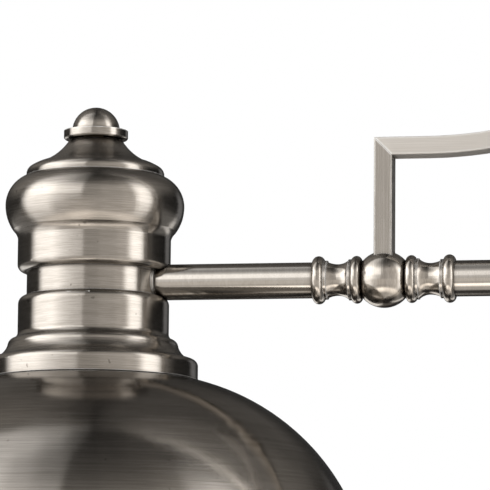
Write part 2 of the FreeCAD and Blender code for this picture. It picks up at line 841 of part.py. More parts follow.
def make_mast():
    top = mast_top()
    inside = d.upper_pole_radius - d.upper_pole_wall
    pole = tube("upper_tube", inside, d.upper_pole_radius, d.upper_pole_foot, top)
    window = block(
        "window",
        d.window_depth,
        d.upper_pole_radius * 2,
        d.window_half * 2,
        x=-d.upper_pole_radius,
        y=-d.upper_pole_radius,
        z=d.arm_height - d.window_half,
    )
    node(cut("upper_tube", pole, window), "upper_pole")
    node(
        tube(
            "glide",
            d.upper_pole_radius,
            d.stop_ring_radius,
            d.upper_pole_foot,
            d.upper_pole_foot + d.stop_ring_height,
        ),
        "pole_stop_ring",
    )
    washer_top = d.arm_height - d.hub_half_height - d.running_gap
    seat_top = washer_top - d.washer_thickness
    seat = turned(
        "seat",
        [
            (d.upper_pole_radius, seat_top - d.seat_height),
            (d.seat_radius - d.washer_thickness, seat_top - d.seat_height),
            (d.seat_radius, seat_top - d.seat_height + d.washer_thickness),
            (d.seat_radius, seat_top),
            (d.upper_pole_radius, seat_top),
        ],
    )
    screw_z = seat_top - d.seat_height / 2
    screw = {"z": screw_z, "rotation": TOWARDS_RIGHT}
    hole = drill("seat_hole", d.small_screw_radius, d.seat_radius, **screw)
    node(cut("seat", seat, hole), "hub_seat")
    node(
        rod("seat_grub", d.small_screw_radius, d.upper_pole_radius, d.seat_radius - d.grub_inset, **screw),
        "seat_grub_screw",
    )
    node(
        tube("thrust", d.upper_pole_radius, d.seat_radius, seat_top, washer_top),
        "thrust_washer",
    )

    collar_top = d.arm_height + d.stay_height + d.stay_rise + d.top_collar_half
    node(
        tube("top_washer", d.upper_pole_radius, d.seat_radius, collar_top + d.running_gap, top),
        "finial_washer",
    )
    node(
        tube("mast_plug", d.finial_stem_radius, inside, top - d.mast_plug_height, top),
        "mast_plug",
    )
    ring_height = d.turn_ring_top - d.turn_ring_bottom
    node(
        turned(
            "finial",
            [
                (0, top - d.finial_stem_length),
                (d.finial_stem_radius, top - d.finial_stem_length),
                (d.finial_stem_radius, top),
                (d.turn_ring_radius - d.turn_ring_round, top),
                (d.turn_ring_radius, top + d.turn_ring_round, d.turn_ring_round, BULGE),
                (d.turn_ring_radius, top + ring_height),
                (d.turn_dome, top + ring_height),
                (0, top + ring_height + d.turn_dome, d.turn_dome, BULGE),
            ],
        ),
        "pole_finial",
    )
    node(
        rod("mast_flex", d.flex_radius, d.upper_pole_foot, d.arm_height - d.window_half),
        "pole_flex",
    )


def mast_top():
    """Top of the upper pole: the stay's collar, its play and one washer above the stay."""
    collar_top = d.arm_height + d.stay_height + d.stay_rise + d.top_collar_half
    return collar_top + d.running_gap + d.washer_thickness


# Arm: hub, two tubes, the knuckle between them, the square stay, and the swivel that carries the cap


def make_hub():
    half, ball_half = d.hub_half_height, d.hub_ball_half
    bore = d.upper_pole_radius + d.running_gap
    chamber = d.hub_chamber_half
    neck_end = half - d.hub_bead_height
    hub = turned(
        "hub",
        [
            (bore, -half),
            (d.hub_end_radius, -half),
            *bead(d.hub_end_radius, d.hub_bead_radius, -half, -neck_end),
            (d.hub_neck_radius, -neck_end),
            (d.hub_neck_radius, -ball_half),
            *bead(d.hub_neck_radius, d.hub_ball_radius, -ball_half, ball_half),
            (d.hub_neck_radius, neck_end),
            (d.hub_end_radius, neck_end),
            *bead(d.hub_end_radius, d.hub_bead_radius, neck_end, half),
            (bore, half),
            (bore, chamber),
            (d.hub_chamber_radius, chamber),
            (d.hub_chamber_radius, -chamber),
            (bore, -chamber),
        ],
        z=d.arm_height,
    )
    along = {"z": d.arm_height, "rotation": ALONG_ARM}
    bead_start = d.hub_socket_end - d.hub_socket_bead_width
    socket = turned(
        "hub_socket",
        [
            (d.tube_radius, d.hub_socket_start),
            (d.hub_socket_radius, d.hub_socket_start),
            (d.hub_socket_radius, bead_start),
            (d.hub_socket_edge, bead_start),
            *bead(d.hub_socket_edge, d.hub_socket_bead, bead_start, d.hub_socket_end),
            (d.tube_radius, d.hub_socket_end),
        ],
        **along,
    )
    body = fused("hub_casting", hub, socket)
    wire_way = drill("hub_wire_way", d.lead_bore, d.hub_socket_end, **along)
    tube_length = d.hub_socket_end - d.hub_tube_stop
    tube_way = place(
        bind(doc.addObject("Part::Cylinder", "hub_tube_way"), Radius=d.tube_radius, Height=tube_length),
        x=-d.hub_tube_stop,
        z=d.arm_height,
        rotation=ALONG_ARM,
    )
    at_grub = {"x": -d.hub_grub_at, "z": d.arm_height, "rotation": DOWN}
    grub_hole = drill("hub_grub_hole", d.small_screw_radius, d.hub_socket_bead, **at_grub)
    node(cut("hub", body, wire_way, tube_way, grub_hole), "swing_hub")
    node(
        rod(
            "hub_grub",
            d.small_screw_radius,
            d.tube_radius,
            d.hub_socket_radius - d.grub_inset,
            **at_grub,
        ),
        "hub_grub_screw",
    )


def sleeve_outline():
    """One turned sleeve: a bead by the ball, a cove between two thin rings, and a bead at the tube."""
    near_sweep = crown_radius(
        d.sleeve_cove_low_at - d.sleeve_near_ring_end, d.sleeve_cove_near - d.sleeve_cove_low
    )
    far_sweep = crown_radius(d.sleeve_cove_end - d.sleeve_cove_low_at, d.sleeve_cove_far - d.sleeve_cove_low)
    return [
        (d.nipple_radius, d.ball_half),
        (d.sleeve_near_edge, d.ball_half),
        *bead(d.sleeve_near_edge, d.sleeve_near_bead, d.ball_half, d.sleeve_near_end),
        (d.sleeve_near_ring, d.sleeve_near_end),
        (d.sleeve_near_ring, d.sleeve_near_ring_end),
        (d.sleeve_cove_near, d.sleeve_near_ring_end),
        (d.sleeve_cove_low, d.sleeve_cove_low_at, near_sweep, HOLLOW),
        (d.sleeve_cove_far, d.sleeve_cove_end, far_sweep, HOLLOW),
        (d.sleeve_far_ring, d.sleeve_cove_end),
        (d.sleeve_far_ring, d.sleeve_far_ring_end),
        (d.sleeve_far_edge, d.sleeve_far_ring_end),
        *bead(d.sleeve_far_edge, d.sleeve_far_bead, d.sleeve_far_ring_end, d.sleeve_end),
        (d.tube_radius, d.sleeve_end),
        (d.tube_radius, d.sleeve_socket),
        (d.nipple_radius, d.sleeve_socket),
    ]


def make_knuckle():
    at_ball = {"x": -(d.arm_reach - d.knuckle_offset), "z": d.arm_height}
    node(
        turned("near_sleeve", sleeve_outline(), rotation=TOWARDS_RIGHT, **at_ball),
        "knuckle_sleeve_inner",
    )
    node(
        turned("far_sleeve", sleeve_outline(), rotation=ALONG_ARM, **at_ball),
        "knuckle_sleeve_outer",
    )
    ball_end = sphere_edge(d.ball_radius, d.ball_half)
    ball = turned(
        "ball",
        [
            (d.nipple_radius, -d.ball_half),
            (ball_end, -d.ball_half),
            *bead(ball_end, d.ball_radius, -d.ball_half, d.ball_half),
            (d.nipple_radius, d.ball_half),
        ],
        rotation=ALONG_ARM,
        **at_ball,
    )
    mortise = block(
        "ball_mortise",
        d.stay_width,
        d.stay_depth,
        d.ball_radius,
        x=at_ball["x"] - d.stay_width / 2,
        y=-d.stay_depth / 2,
        z=d.arm_height + d.stay_seat,
    )
    node(cut("ball", ball, mortise), "knuckle_ball")
    node(
        tube("stud", d.lead_bore, d.nipple_radius, -d.stud_end, d.stud_end, rotation=ALONG_ARM, **at_ball),
        "knuckle_stud",
    )


def sphere_edge(radius, half):
    """Radius of a sphere's section at a distance from its centre."""
    value = math.sqrt(radius.value**2 - half.value**2)
    return Size(value, f"sqrt({radius.text}^2 - {half.text}^2)")


def make_arm_tubes():
    along = {"z": d.arm_height, "rotation": ALONG_ARM}
    bore = d.tube_radius - d.wall
    ball_at = d.arm_reach - d.knuckle_offset
    tube_end = d.arm_reach - d.seat_depth - d.running_gap / 2 - d.washer_thickness
    node(
        tube("inner_tube", bore, d.tube_radius, d.hub_tube_stop, ball_at - d.sleeve_socket, **along),
        "arm_tube_inner",
    )
    node(
        tube("outer_tube", bore, d.tube_radius, ball_at + d.sleeve_socket, tube_end, **along),
        "arm_tube_outer",
    )

    washer_end = tube_end + d.washer_thickness
    spring_start = d.arm_reach - d.boss_face + d.running_gap / 2
    spring_end = spring_start + d.washer_thickness
    nut_end = spring_end + d.nut_thickness
    spigot_end = nut_end + d.washer_thickness * 2
    node(
        turned(
            "spigot",
            [
                (d.lead_bore, tube_end - d.spigot_plug),
                (bore, tube_end - d.spigot_plug),
                (bore, tube_end),
                (d.nipple_radius, tube_end),
                (d.nipple_radius, spigot_end),
                (d.lead_bore, spigot_end),
            ],
            **along,
        ),
        "swivel_spigot",
    )
    node(tube("friction", d.nipple_radius, d.tube_radius, tube_end, washer_end, **along), "swivel_washer")
    node(
        tube("spring", d.nipple_radius, d.spring_washer_radius, spring_start, spring_end, **along),
        "spring_washer",
    )
    node(
        hex_nut(
            "swivel_nut",
            d.nipple_radius,
            d.nut_circumradius,
            spring_end,
            nut_end,
            z=d.arm_height,
            rotation=ALONG_ARM,
        ),
        "swivel_nut",
    )
    flex_start = d.upper_pole_radius + d.washer_thickness
    node(rod("arm_flex", d.flex_radius, flex_start, nut_end, **along), "arm_flex")


def long_edges(shape, half_depth, keep):
    """Names of the edges on the bar's front and back faces whose direction keep() accepts."""
    names = []
    for index, edge in enumerate(shape.Edges, start=1):
        on_face = all(abs(abs(v.Y) - half_depth) < TOUCHING for v in edge.Vertexes)
        direction = edge.tangentAt(edge.FirstParameter)
        if on_face and keep(direction):
            names.append(f"Edge{index}")
    return names


def rounded_bar(name, outline, keep):
    """A bar of the stay's section, with its long edges rounded."""
    body, pad = padded(name, outline, d.stay_depth)
    doc.recompute()
    rounding = body.newObject("PartDesign::Fillet", f"{name}_rounding")
    rounding.Base = (pad, long_edges(pad.Shape, d.stay_depth.value / 2, keep))
    bind(rounding, Radius=d.stay_round)
    body.Tip = rounding
    return place(body, z=d.arm_height)


def make_stay():
    """A square post let into the ball, mitred to a bar that sweeps up to the collar on the pole."""
    half = d.stay_width / 2
    post_x = -(d.arm_reach - d.knuckle_offset)
    low, high = d.stay_height - half, d.stay_height + half
    post = [
        (post_x - half, d.stay_seat),
        (post_x + half, d.stay_seat),
        (post_x + half, low),
        (post_x - half, high),
    ]
    node(rounded_bar("post", post, lambda way: abs(way.z) > LENGTHWISE), "stay_post")

    start = post_x + d.stay_flat
    run = -(start + d.stay_tail)
    slope = d.stay_rise / run
    cosine = (1 - slope * slope) / (1 + slope * slope)
    sine = slope * 2 / (1 + slope * slope)
    both = (run * run + d.stay_rise * d.stay_rise) / (d.stay_rise * 2)
    share = d.stay_sweep / both
    turn_x, turn_z = start + run * share, d.stay_height + d.stay_rise * share
    settle = both - d.stay_sweep
    end_z = d.stay_height + d.stay_rise
    bar = [
        (post_x + half, low),
        (start, low),
        (turn_x + sine * half, turn_z - cosine * half, d.stay_sweep + half, BULGE),
        (-d.stay_tail, end_z - half, settle - half, HOLLOW),
        (-d.stay_tail, end_z + half),
        (turn_x - sine * half, turn_z + cosine * half, settle + half, BULGE),
        (start, high, d.stay_sweep - half, HOLLOW),
        (post_x - half, high),
    ]
    node(
        rounded_bar("bar", bar, lambda way: abs(way.x) > LENGTHWISE),
        "stay_bar",
    )

    collar_half = d.top_collar_half
    barrel_end = collar_half - d.top_collar_bead_height
    edge = d.top_collar_edge
    bore = d.upper_pole_radius + d.running_gap
    collar = turned(
        "stay_collar",
        [
            (bore, -collar_half),
            (edge, -collar_half),
            *bead(edge, d.top_collar_bead, -collar_half, -barrel_end),
            (d.top_collar_radius, -barrel_end),
            (d.top_collar_radius, barrel_end),
            (edge, barrel_end),
            *bead(edge, d.top_collar_bead, barrel_end, collar_half),
            (bore, collar_half),
        ],
        z=d.arm_height + end_z,
    )
    pocket = block(
        "stay_pocket",
        d.top_collar_bead - d.stay_tail + d.washer_thickness,
        d.stay_depth,
        d.stay_width,
        x=-d.top_collar_bead - d.washer_thickness,
        y=-d.stay_depth / 2,
        z=d.arm_height + end_z - half,
    )
    node(cut("stay_collar", collar, pocket), "top_collar")


# Head: the cap's body and crown, the switch and its knob, the shade, the lampholder and the bulb


def on_head():
    return {"x": -d.arm_reach, "z": d.arm_height}


def make_cap_body():
    body = turned(
        "cap",
        [
            (d.flange_land, d.flange_land_z),
            (d.flange_radius, d.flange_bottom),
            (d.flange_radius, d.flange_edge),
            (d.flange_radius - d.flange_round, d.flange_edge + d.flange_round, d.flange_round, BULGE),
            (d.flange_top_radius, d.flange_top),
            (d.skirt_radius, d.skirt_z, d.skirt_sweep, HOLLOW),
            (d.shoulder_radius, d.shoulder_z, d.shoulder_round, BULGE),
            (d.lower_band_radius, d.lower_band_bottom, d.shoulder_round, HOLLOW),
            (d.lower_band_radius, d.lower_band_top),
            (d.neck_radius, d.neck_bottom, d.lower_band_round, BULGE),
            (d.neck_radius, d.neck_top),
            (d.band_radius, d.band_bottom, d.band_round, BULGE),
            (d.band_radius, d.band_top),
            (d.bulb_foot_radius, d.bulb_foot_z, d.bulb_fillet, HOLLOW),
            (d.bulb_radius, d.bulb_z, d.bulb_lower_round, BULGE),
            (d.bulb_mouth_radius, d.bulb_top, d.bulb_upper_round, BULGE),
            (d.mouth_radius, d.bulb_top),
            (d.mouth_radius, d.mouth_depth),
            (d.bulb_radius - d.cap_wall, d.bulb_z, d.bulb_upper_round, HOLLOW),
            (d.band_radius - d.cap_wall, d.bulb_foot_z, d.bulb_lower_round, HOLLOW),
            (d.band_radius - d.cap_wall, d.band_bottom),
            (d.neck_radius - d.cap_wall, d.neck_top),
            (d.neck_radius - d.cap_wall, d.neck_bottom),
            (d.lower_band_radius - d.cap_wall, d.lower_band_top),
            (d.lower_band_radius - d.cap_wall, d.lower_band_bottom),
            (d.skirt_radius - d.cap_wall, d.skirt_z),
            (d.flange_land, d.flange_edge - d.cap_wall),
        ],
        **on_head(),
    )
    boss = drill(
        "cap_boss",
        d.boss_radius,
        d.boss_length,
        x=-d.arm_reach + d.boss_face,
        z=d.arm_height,
        rotation=TOWARDS_RIGHT,
    )
    lugs = [
        block(
            f"cap_lug{index}",
            d.lug_half_width * 2,
            d.lug_length,
            d.lug_top - d.bracket_top,
            x=-d.arm_reach - d.lug_half_width,
            y=y,
            z=d.arm_height + d.bracket_top,
        )
        for index, y in enumerate((d.lug_inner, -d.lug_inner - d.lug_length))
    ]
    casting = fused("cap_casting", body, boss, *lugs)
    seat = drill(
        "cap_seat",
        d.seat_clearance,
        d.band_radius,
        x=-d.arm_reach + d.seat_depth,
        z=d.arm_height,
        rotation=TOWARDS_RIGHT,
    )
    pivot = drill(
        "cap_pivot",
        d.nipple_radius + d.running_gap / 2,
        d.band_radius,
        x=-d.arm_reach,
        z=d.arm_height,
        rotation=TOWARDS_RIGHT,
    )
    holes = [
        drill(
            f"lug_hole{index}",
            d.m3_radius,
            d.m3_length - d.bracket_thickness,
            x=-d.arm_reach,
            y=y,
            z=d.arm_height + d.bracket_top,
        )
        for index, y in enumerate((d.bracket_screw_offset, -d.bracket_screw_offset))
    ]
    node(cut("cap", casting, seat, pivot, *holes), "cap_body")


def make_crown():
    node(
        turned(
            "crown",
            [
                (d.spigot_bore, d.spigot_bottom),
                (d.spigot_radius, d.spigot_bottom),
                (d.spigot_radius, d.bulb_top),
                (d.roll_radius, d.bulb_top),
                (d.roll_radius, d.roll_z),
                (d.roll_edge_radius, d.roll_edge_z, d.roll_round, BULGE),
                (d.crown_foot_radius, d.crown_foot_z, d.roll_top_round, BULGE),
                (d.crown_neck, d.crown_top, d.crown_sweep, HOLLOW),
                (d.switch_hole, d.crown_top),
                (d.switch_hole, d.crown_ceiling),
                (d.crown_inner_neck, d.crown_ceiling),
                (d.crown_inner_foot, d.crown_foot_z, d.crown_sweep, BULGE),
                (d.spigot_bore, d.bulb_top),
            ],
            **on_head(),
        ),
        "cap_crown",
    )


def make_switch():
    at = on_head()
    node(
        turned(
            "switch",
            [
                (0, d.switch_bottom),
                (d.switch_radius, d.switch_bottom),
                (d.switch_radius, d.switch_top),
                (d.switch_bushing, d.switch_top),
                (d.switch_bushing, d.switch_bushing_top),
                (d.shaft_radius + d.running_gap / 2, d.switch_bushing_top),
                (d.shaft_radius + d.running_gap / 2, d.shaft_bottom - d.running_gap),
                (0, d.shaft_bottom - d.running_gap),
            ],
            **at,
        ),
        "rotary_switch",
    )
    node(
        hex_nut(
            "switch_nut",
            d.switch_bushing,
            d.switch_nut_radius,
            d.crown_top,
            d.switch_nut_top,
            x=-d.arm_reach,
            z=d.arm_height,
        ),
        "switch_nut",
    )
    node(rod("shaft", d.shaft_radius, d.shaft_bottom, d.shaft_top, **at), "switch_shaft")
    node(
        turned(
            "turn_knob",
            [
                (d.turn_recess_radius, d.turn_ring_bottom),
                (d.turn_ring_radius - d.turn_ring_round, d.turn_ring_bottom),
                (
                    d.turn_ring_radius,
                    d.turn_ring_bottom + d.turn_ring_round,
                    d.turn_ring_round,
                    BULGE,
                ),
                (d.turn_ring_radius, d.turn_ring_top),
                (d.turn_dome, d.turn_ring_top),
                (0, d.turn_ring_top + d.turn_dome, d.turn_dome, BULGE),
                (0, d.shaft_top),
                (d.shaft_radius, d.shaft_top),
                (d.shaft_radius, d.turn_recess_top),
                (d.turn_recess_radius, d.turn_recess_top),
            ],
            **at,
        ),
        "switch_knob",
    )


def make_shade():
    sheet = d.dome_sheet
    widest = d.dome_offset + d.dome_round
    bead_top = d.rim_bead_z + d.rim_bead
    node(
        turned(
            "shade",
            [
                (d.rim_bead_offset - d.rim_bead, d.rim_bead_z),
                (d.rim_bead_offset, d.rim_bead_z - d.rim_bead, d.rim_bead, BULGE),
                (d.rim_bead_offset + d.rim_bead, d.rim_bead_z, d.rim_bead, BULGE),
                (d.rim_bead_offset, bead_top, d.rim_bead, BULGE),
                (d.rim_band_radius, bead_top),
                (d.rim_band_radius, d.rim_band_top),
                (d.rim_band_radius - d.rim_round, d.rim_band_top + d.rim_round, d.rim_round, BULGE),
                (widest, d.rim_flare_top, d.rim_flare, HOLLOW),
                (widest, d.dome_z),
                (d.dome_offset, d.dome_z + d.dome_round, d.dome_round, BULGE),
                (d.dome_hole, d.dome_z + d.dome_round),
                (d.dome_hole, d.dome_z + d.dome_round - sheet),
                (d.dome_offset, d.dome_z + d.dome_round - sheet),
                (widest - sheet, d.dome_z, d.dome_round - sheet, HOLLOW),
                (widest - sheet, d.rim_flare_top),
                (
                    d.rim_band_radius - d.rim_round,
                    d.rim_band_top + d.rim_round - sheet,
                    d.rim_flare + sheet,
                    BULGE,
                ),
                (d.rim_band_radius - sheet, d.rim_band_top, d.rim_round - sheet, HOLLOW),
                (d.rim_band_radius - sheet, bead_top - sheet / 2),
            ],
            **on_head(),
        ),
        "shade_dome",
    )
    node(
        tube(
            "ring_nut",
            d.holder_radius,
            d.ring_nut_radius,
            d.ring_nut_top - d.ring_nut_height,
            d.ring_nut_top,
            **on_head(),
        ),
        "shade_ring_nut",
    )


def make_lampholder():
    at = on_head()
    bracket_bottom = d.bracket_top - d.bracket_thickness
    plate = block(
        "bracket",
        d.bracket_half_width * 2,
        d.bracket_half_length * 2,
        d.bracket_thickness,
        x=-d.arm_reach - d.bracket_half_width,
        y=-d.bracket_half_length,
        z=d.arm_height + bracket_bottom,
    )
    centre_hole = drill(
        "bracket_centre",
        d.nipple_radius,
        d.bracket_thickness,
        x=-d.arm_reach,
        z=d.arm_height + bracket_bottom,
    )
    screw_holes = []
    screws = []
    for index, y in enumerate((d.bracket_screw_offset, -d.bracket_screw_offset)):
        hole = drill(
            f"bracket_hole{index}",
            d.m3_radius,
            d.bracket_thickness,
            x=-d.arm_reach,
            y=y,
            z=d.arm_height + bracket_bottom,
        )
        screw_holes.append(hole)
        screw = turned(
            f"bracket_screw{index}",
            [
                (0, bracket_bottom - d.m3_head_height),
                (d.m3_radius, bracket_bottom - d.m3_head_height),
                (d.m3_head_radius, bracket_bottom, d.m3_head_height, BULGE),
                (d.m3_radius, bracket_bottom),
                (d.m3_radius, bracket_bottom + d.m3_length),
                (0, bracket_bottom + d.m3_length),
            ],
            y=y,
            **at,
        )
        screws.append(screw)
    node(cut("bracket", plate, centre_hole, *screw_holes), "socket_bracket")
    both_screws = doc.addObject("Part::Compound", "bracket_screw_pair")
    both_screws.Links = screws
    node(both_screws, "bracket_screws")

    node(
        tube("holder_nipple", d.lead_bore, d.nipple_radius, d.nipple_bottom, d.nipple_top, **at),
        "socket_nipple",
    )
    node(
        hex_nut(
            "holder_nut",
            d.nipple_radius,
            d.switch_nut_radius,
            d.bracket_top,
            d.bracket_top + d.socket_nut_height,
            x=-d.arm_reach,
            z=d.arm_height,
        ),
        "socket_nut",
    )
    node(
        turned(
            "holder",
            [
                (d.holder_bore, d.holder_bottom),
                (d.holder_radius, d.holder_bottom),
                (d.holder_radius, d.holder_shoulder),
                (d.holder_neck, d.holder_shoulder),
                (d.holder_neck, d.holder_top),
                (d.nipple_radius, d.holder_top),
                (d.nipple_radius, d.nipple_bottom),
                (0, d.nipple_bottom),
                (0, d.holder_floor),
                (d.holder_bore, d.holder_floor),
            ],
            **at,
        ),
        "socket_body",
    )
    shell_inside = d.shell_radius - d.shell_sheet
    node(tube("shell", shell_inside, d.shell_radius, d.shell_bottom, d.shell_top, **at), "socket_shell")
    node(
        rod("contact", d.contact_radius, d.holder_floor - d.contact_thickness, d.holder_floor, **at),
        "socket_contact",
    )


def make_bulb():
    at = on_head()
    sheet = d.glass_sheet
    centre_z = d.glass_bottom_z + d.glass_round
    node(
        turned(
            "glass",
            [
                (0, d.glass_bottom_z),
                (d.glass_round, centre_z, d.glass_round, BULGE),
                (d.glass_shoulder, d.glass_shoulder_z, d.glass_round, BULGE),
                (d.glass_neck, d.glass_neck_z, d.glass_sweep, HOLLOW),
                (d.glass_neck, d.glass_top),
                (d.glass_neck - sheet, d.glass_top),
                (d.glass_neck - sheet, d.glass_neck_z),
                (d.glass_shoulder - sheet, d.glass_shoulder_z, d.glass_sweep, BULGE),
                (d.glass_round - sheet, centre_z, d.glass_round - sheet, HOLLOW),
                (0, d.glass_bottom_z + sheet, d.glass_round - sheet, HOLLOW),
            ],
            **at,
        ),
        "bulb_glass",
    )
    node(
        turned(
            "lamp_cap",
            [
                (0, d.glass_top),
                (d.glass_neck - sheet * 2, d.glass_top),
                (d.lamp_cap_radius, d.glass_top + d.glass_sheet * 2),
                (d.lamp_cap_radius, d.lamp_cap_shoulder),
                (d.lamp_cap_tip_radius, d.lamp_cap_tip - d.washer_thickness),
                (d.lamp_cap_tip_radius, d.lamp_cap_tip),
                (0, d.lamp_cap_tip),
            ],
            **at,
        ),
        "bulb_cap",
    )


def make_leads():
    """Three leads in the cap: supply to switch, switch to lampholder, and neutral to lampholder."""
    at = Vector(-d.arm_reach.value, 0, d.arm_height.value)
    mouth = d.boss_face.value - d.nut_thickness.value - 2 * d.washer_thickness.value
    side = d.lead_offset.value
    switch_side = d.lead_switch_side.value
    socket_side = d.holder_neck.value - 2 * d.lead_radius.value
    routes = {
        "lead_supply": [(mouth, 0, side), (switch_side, 0, side), (switch_side, 0, d.switch_bottom.value)],
        "lead_switched": [
            (-switch_side, 0, d.switch_bottom.value),
            (-switch_side, 0, d.lead_upper_bend.value),
            (-socket_side, 0, d.lead_lower_bend.value),
            (-socket_side, 0, d.holder_top.value),
        ],
        "lead_neutral": [(mouth, 0, -side), (socket_side, 0, -side), (socket_side, 0, d.holder_top.value)],
    }
    for name, route in routes.items():
        node(insulated_lead(name, route, at), name)


def check_and_write():
    """Stops on any failed object or bad shape, then writes one file per piece."""
    for item in doc.Objects:
        if "Invalid" in item.State or "Error" in item.State:
            sys.exit(f"{item.Label} failed: {item.State}")
    for item in nodes:
        if item.Shape.isNull() or not item.Shape.isValid():
            sys.exit(f"{item.Label} has no valid shape")
    for old in os.listdir("parts"):
        os.remove(os.path.join("parts", old))
    for item in nodes:
        item.Shape.exportStep(os.path.join("parts", f"{item.Label}.step"))
    print(f"{len(nodes)} pieces written")


make_foot()
make_lower_pole()
make_clamp()
make_mast()
make_hub()
make_knuckle()
make_arm_tubes()
make_stay()
make_cap_body()
make_crown()
make_switch()
make_shade()
make_lampholder()
make_bulb()
make_leads()
doc.recompute()
os.makedirs("parts", exist_ok=True)
check_and_write()
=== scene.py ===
"""Looks of the pharmacy floor lamp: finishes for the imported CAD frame, a soft studio and the camera.

Lengths are in metres, angles in degrees where they are typed in, and noise scales are features per metre.
"""

import math

import bmesh
import bpy
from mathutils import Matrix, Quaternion, Vector, noise


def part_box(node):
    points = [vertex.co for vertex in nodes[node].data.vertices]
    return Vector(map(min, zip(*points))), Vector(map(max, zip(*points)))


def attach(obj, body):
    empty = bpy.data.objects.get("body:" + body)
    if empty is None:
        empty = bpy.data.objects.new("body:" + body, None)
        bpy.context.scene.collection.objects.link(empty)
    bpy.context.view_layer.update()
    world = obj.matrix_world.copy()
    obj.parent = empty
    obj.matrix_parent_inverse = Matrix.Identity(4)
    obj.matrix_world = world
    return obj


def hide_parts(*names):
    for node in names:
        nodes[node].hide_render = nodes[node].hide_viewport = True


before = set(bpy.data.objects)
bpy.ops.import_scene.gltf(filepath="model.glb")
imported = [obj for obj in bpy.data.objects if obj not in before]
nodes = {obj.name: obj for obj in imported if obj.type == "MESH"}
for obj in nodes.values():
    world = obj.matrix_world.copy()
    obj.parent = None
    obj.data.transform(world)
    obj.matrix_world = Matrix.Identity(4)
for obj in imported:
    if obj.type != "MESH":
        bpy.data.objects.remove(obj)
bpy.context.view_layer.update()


# Places that the turned pieces are brushed round, and the middle of the hollow dome

SHADE_X = -0.36
ARM_Z = 1.1
CLAMP_Z = 0.656
DOME_Z = 0.96
ON_HEAD = (SHADE_X, 0.0, 0.0)
ON_ARM = (0.0, 0.0, ARM_Z)
ON_CLAMP = (0.0, 0.0, CLAMP_Z)
ON_POLE = (0.0, 0.0, 0.0)
DOME_CENTRE = (SHADE_X, 0.0, DOME_Z)

# Camera, set by its direction and distance from the point it looks at

CAMERA_AZIMUTH = 9.7
CAMERA_ELEVATION = -8.1
CAMERA_ROLL = 0.5
CAMERA_DISTANCE = 1.7
CAMERA_TARGET = (-0.2921, 0.0, 1.1162)
CAMERA_LENS = 282.8
CAMERA_SENSOR = 36
CAMERA_NEAR = 0.01
CAMERA_FAR = 50

# Satin nickel: each finish runs between a light and a deep tone

NICKEL_LIGHT = (0.70, 0.66, 0.615)
NICKEL_DEEP = (0.50, 0.465, 0.42)
KNUCKLE_LIGHT = (0.86, 0.81, 0.75)
KNUCKLE_DEEP = (0.62, 0.57, 0.51)
BRIGHT_LIGHT = (0.93, 0.89, 0.84)
BRIGHT_DEEP = (0.78, 0.735, 0.68)
# Dark of small nicks, and of painted shade in crevices and recesses, with how far that painted shade
# reaches
DARK_NICK_AND_CREVICE_SHADE = (0.16, 0.14, 0.12)
CREVICE_SHADE_REACH = 0.0025
NICKEL_EDGE = 0.0003
NICKEL_RELIEF = 0.00004
ROUGHNESS_DRIFT = 0.05
HAZE_SCALE = 26.0

# How the lay of the brushing turns the blur of a highlight

ROUND_AXIS = 0.25
ALONG_AXIS = 0.0

# Brushing round an axis: lines per metre, and how soon a line ends

BROAD_LINES, BROAD_WIND = 420.0, 1.4
FINE_LINES, FINE_SEED = 2700.0, 7.3
HAIR_LINES, HAIR_SEED = 5200.0, 3.1
HAIR_TO_FINE_WIND = 2.4

# Brushing along an axis: features per metre across the lines and along them

BAR_BROAD = (700.0, 8.0)
BAR_FINE = (3600.0, 30.0)
BAR_HAIR = (7600.0, 60.0)

# Outer edges lightened towards near white, partly as wear from handling and partly as a painted highlight,
# and small dark nicks

WORN_AND_HIGHLIT_NICKEL = (0.97, 0.95, 0.92)
WORN_AND_HIGHLIT_COVER = 0.85
WORN_AND_HIGHLIT_HAZE = 0.45
WORN_AND_HIGHLIT_SCALE = 220.0
NICK_SCALE = 330.0
NICK_COVER = 0.45

# White enamel inside the shade

ENAMEL_DEEP = (0.86, 0.85, 0.82)
ENAMEL_LIGHT = (0.91, 0.90, 0.875)
ENAMEL_SCALE = 180.0
ENAMEL_HAZE = 0.14

# Other finishes

SMALL_EDGE = 0.0002
MACHINED_LINES = (2600.0, 300.0)
SPANGLE_SCALE = 900.0
TARNISH_SCALE = 140.0
FLOW_SCALE = 70.0
SKIN_GRAIN = 900.0
SHEATH_GRAIN = 600.0
SAND_SCALE = 420.0
LUMP_SCALE = 60.0
FIBRE_SCALE = 1500.0
MAT_SCALE = 160.0
LINT_SCALE = 2600.0
FROST_SCALE = 1300.0
CLOUD_SCALE = 40.0

# Felt disc: depth of its ragged edge and of its dents, noise that shapes them, and its section as
# (part of the radius, part of the thickness)

FELT_FUZZ = 0.0004
FELT_DENT = 0.0001
FELT_STEPS = 360
FUZZ_WAVES = 60
FUZZ_RISE = 3
DENT_SCALE = 90.0
FELT_SECTION = [
    (0.0, 0.0), (0.25, 0.0), (0.5, 0.0), (0.75, 0.0), (0.93, 0.0), (0.985, 0.03), (0.996, 0.2),
    (1.0, 0.5), (0.996, 0.8), (0.985, 0.97), (0.93, 1.0), (0.5, 1.0), (0.0, 1.0),
]

# Studio

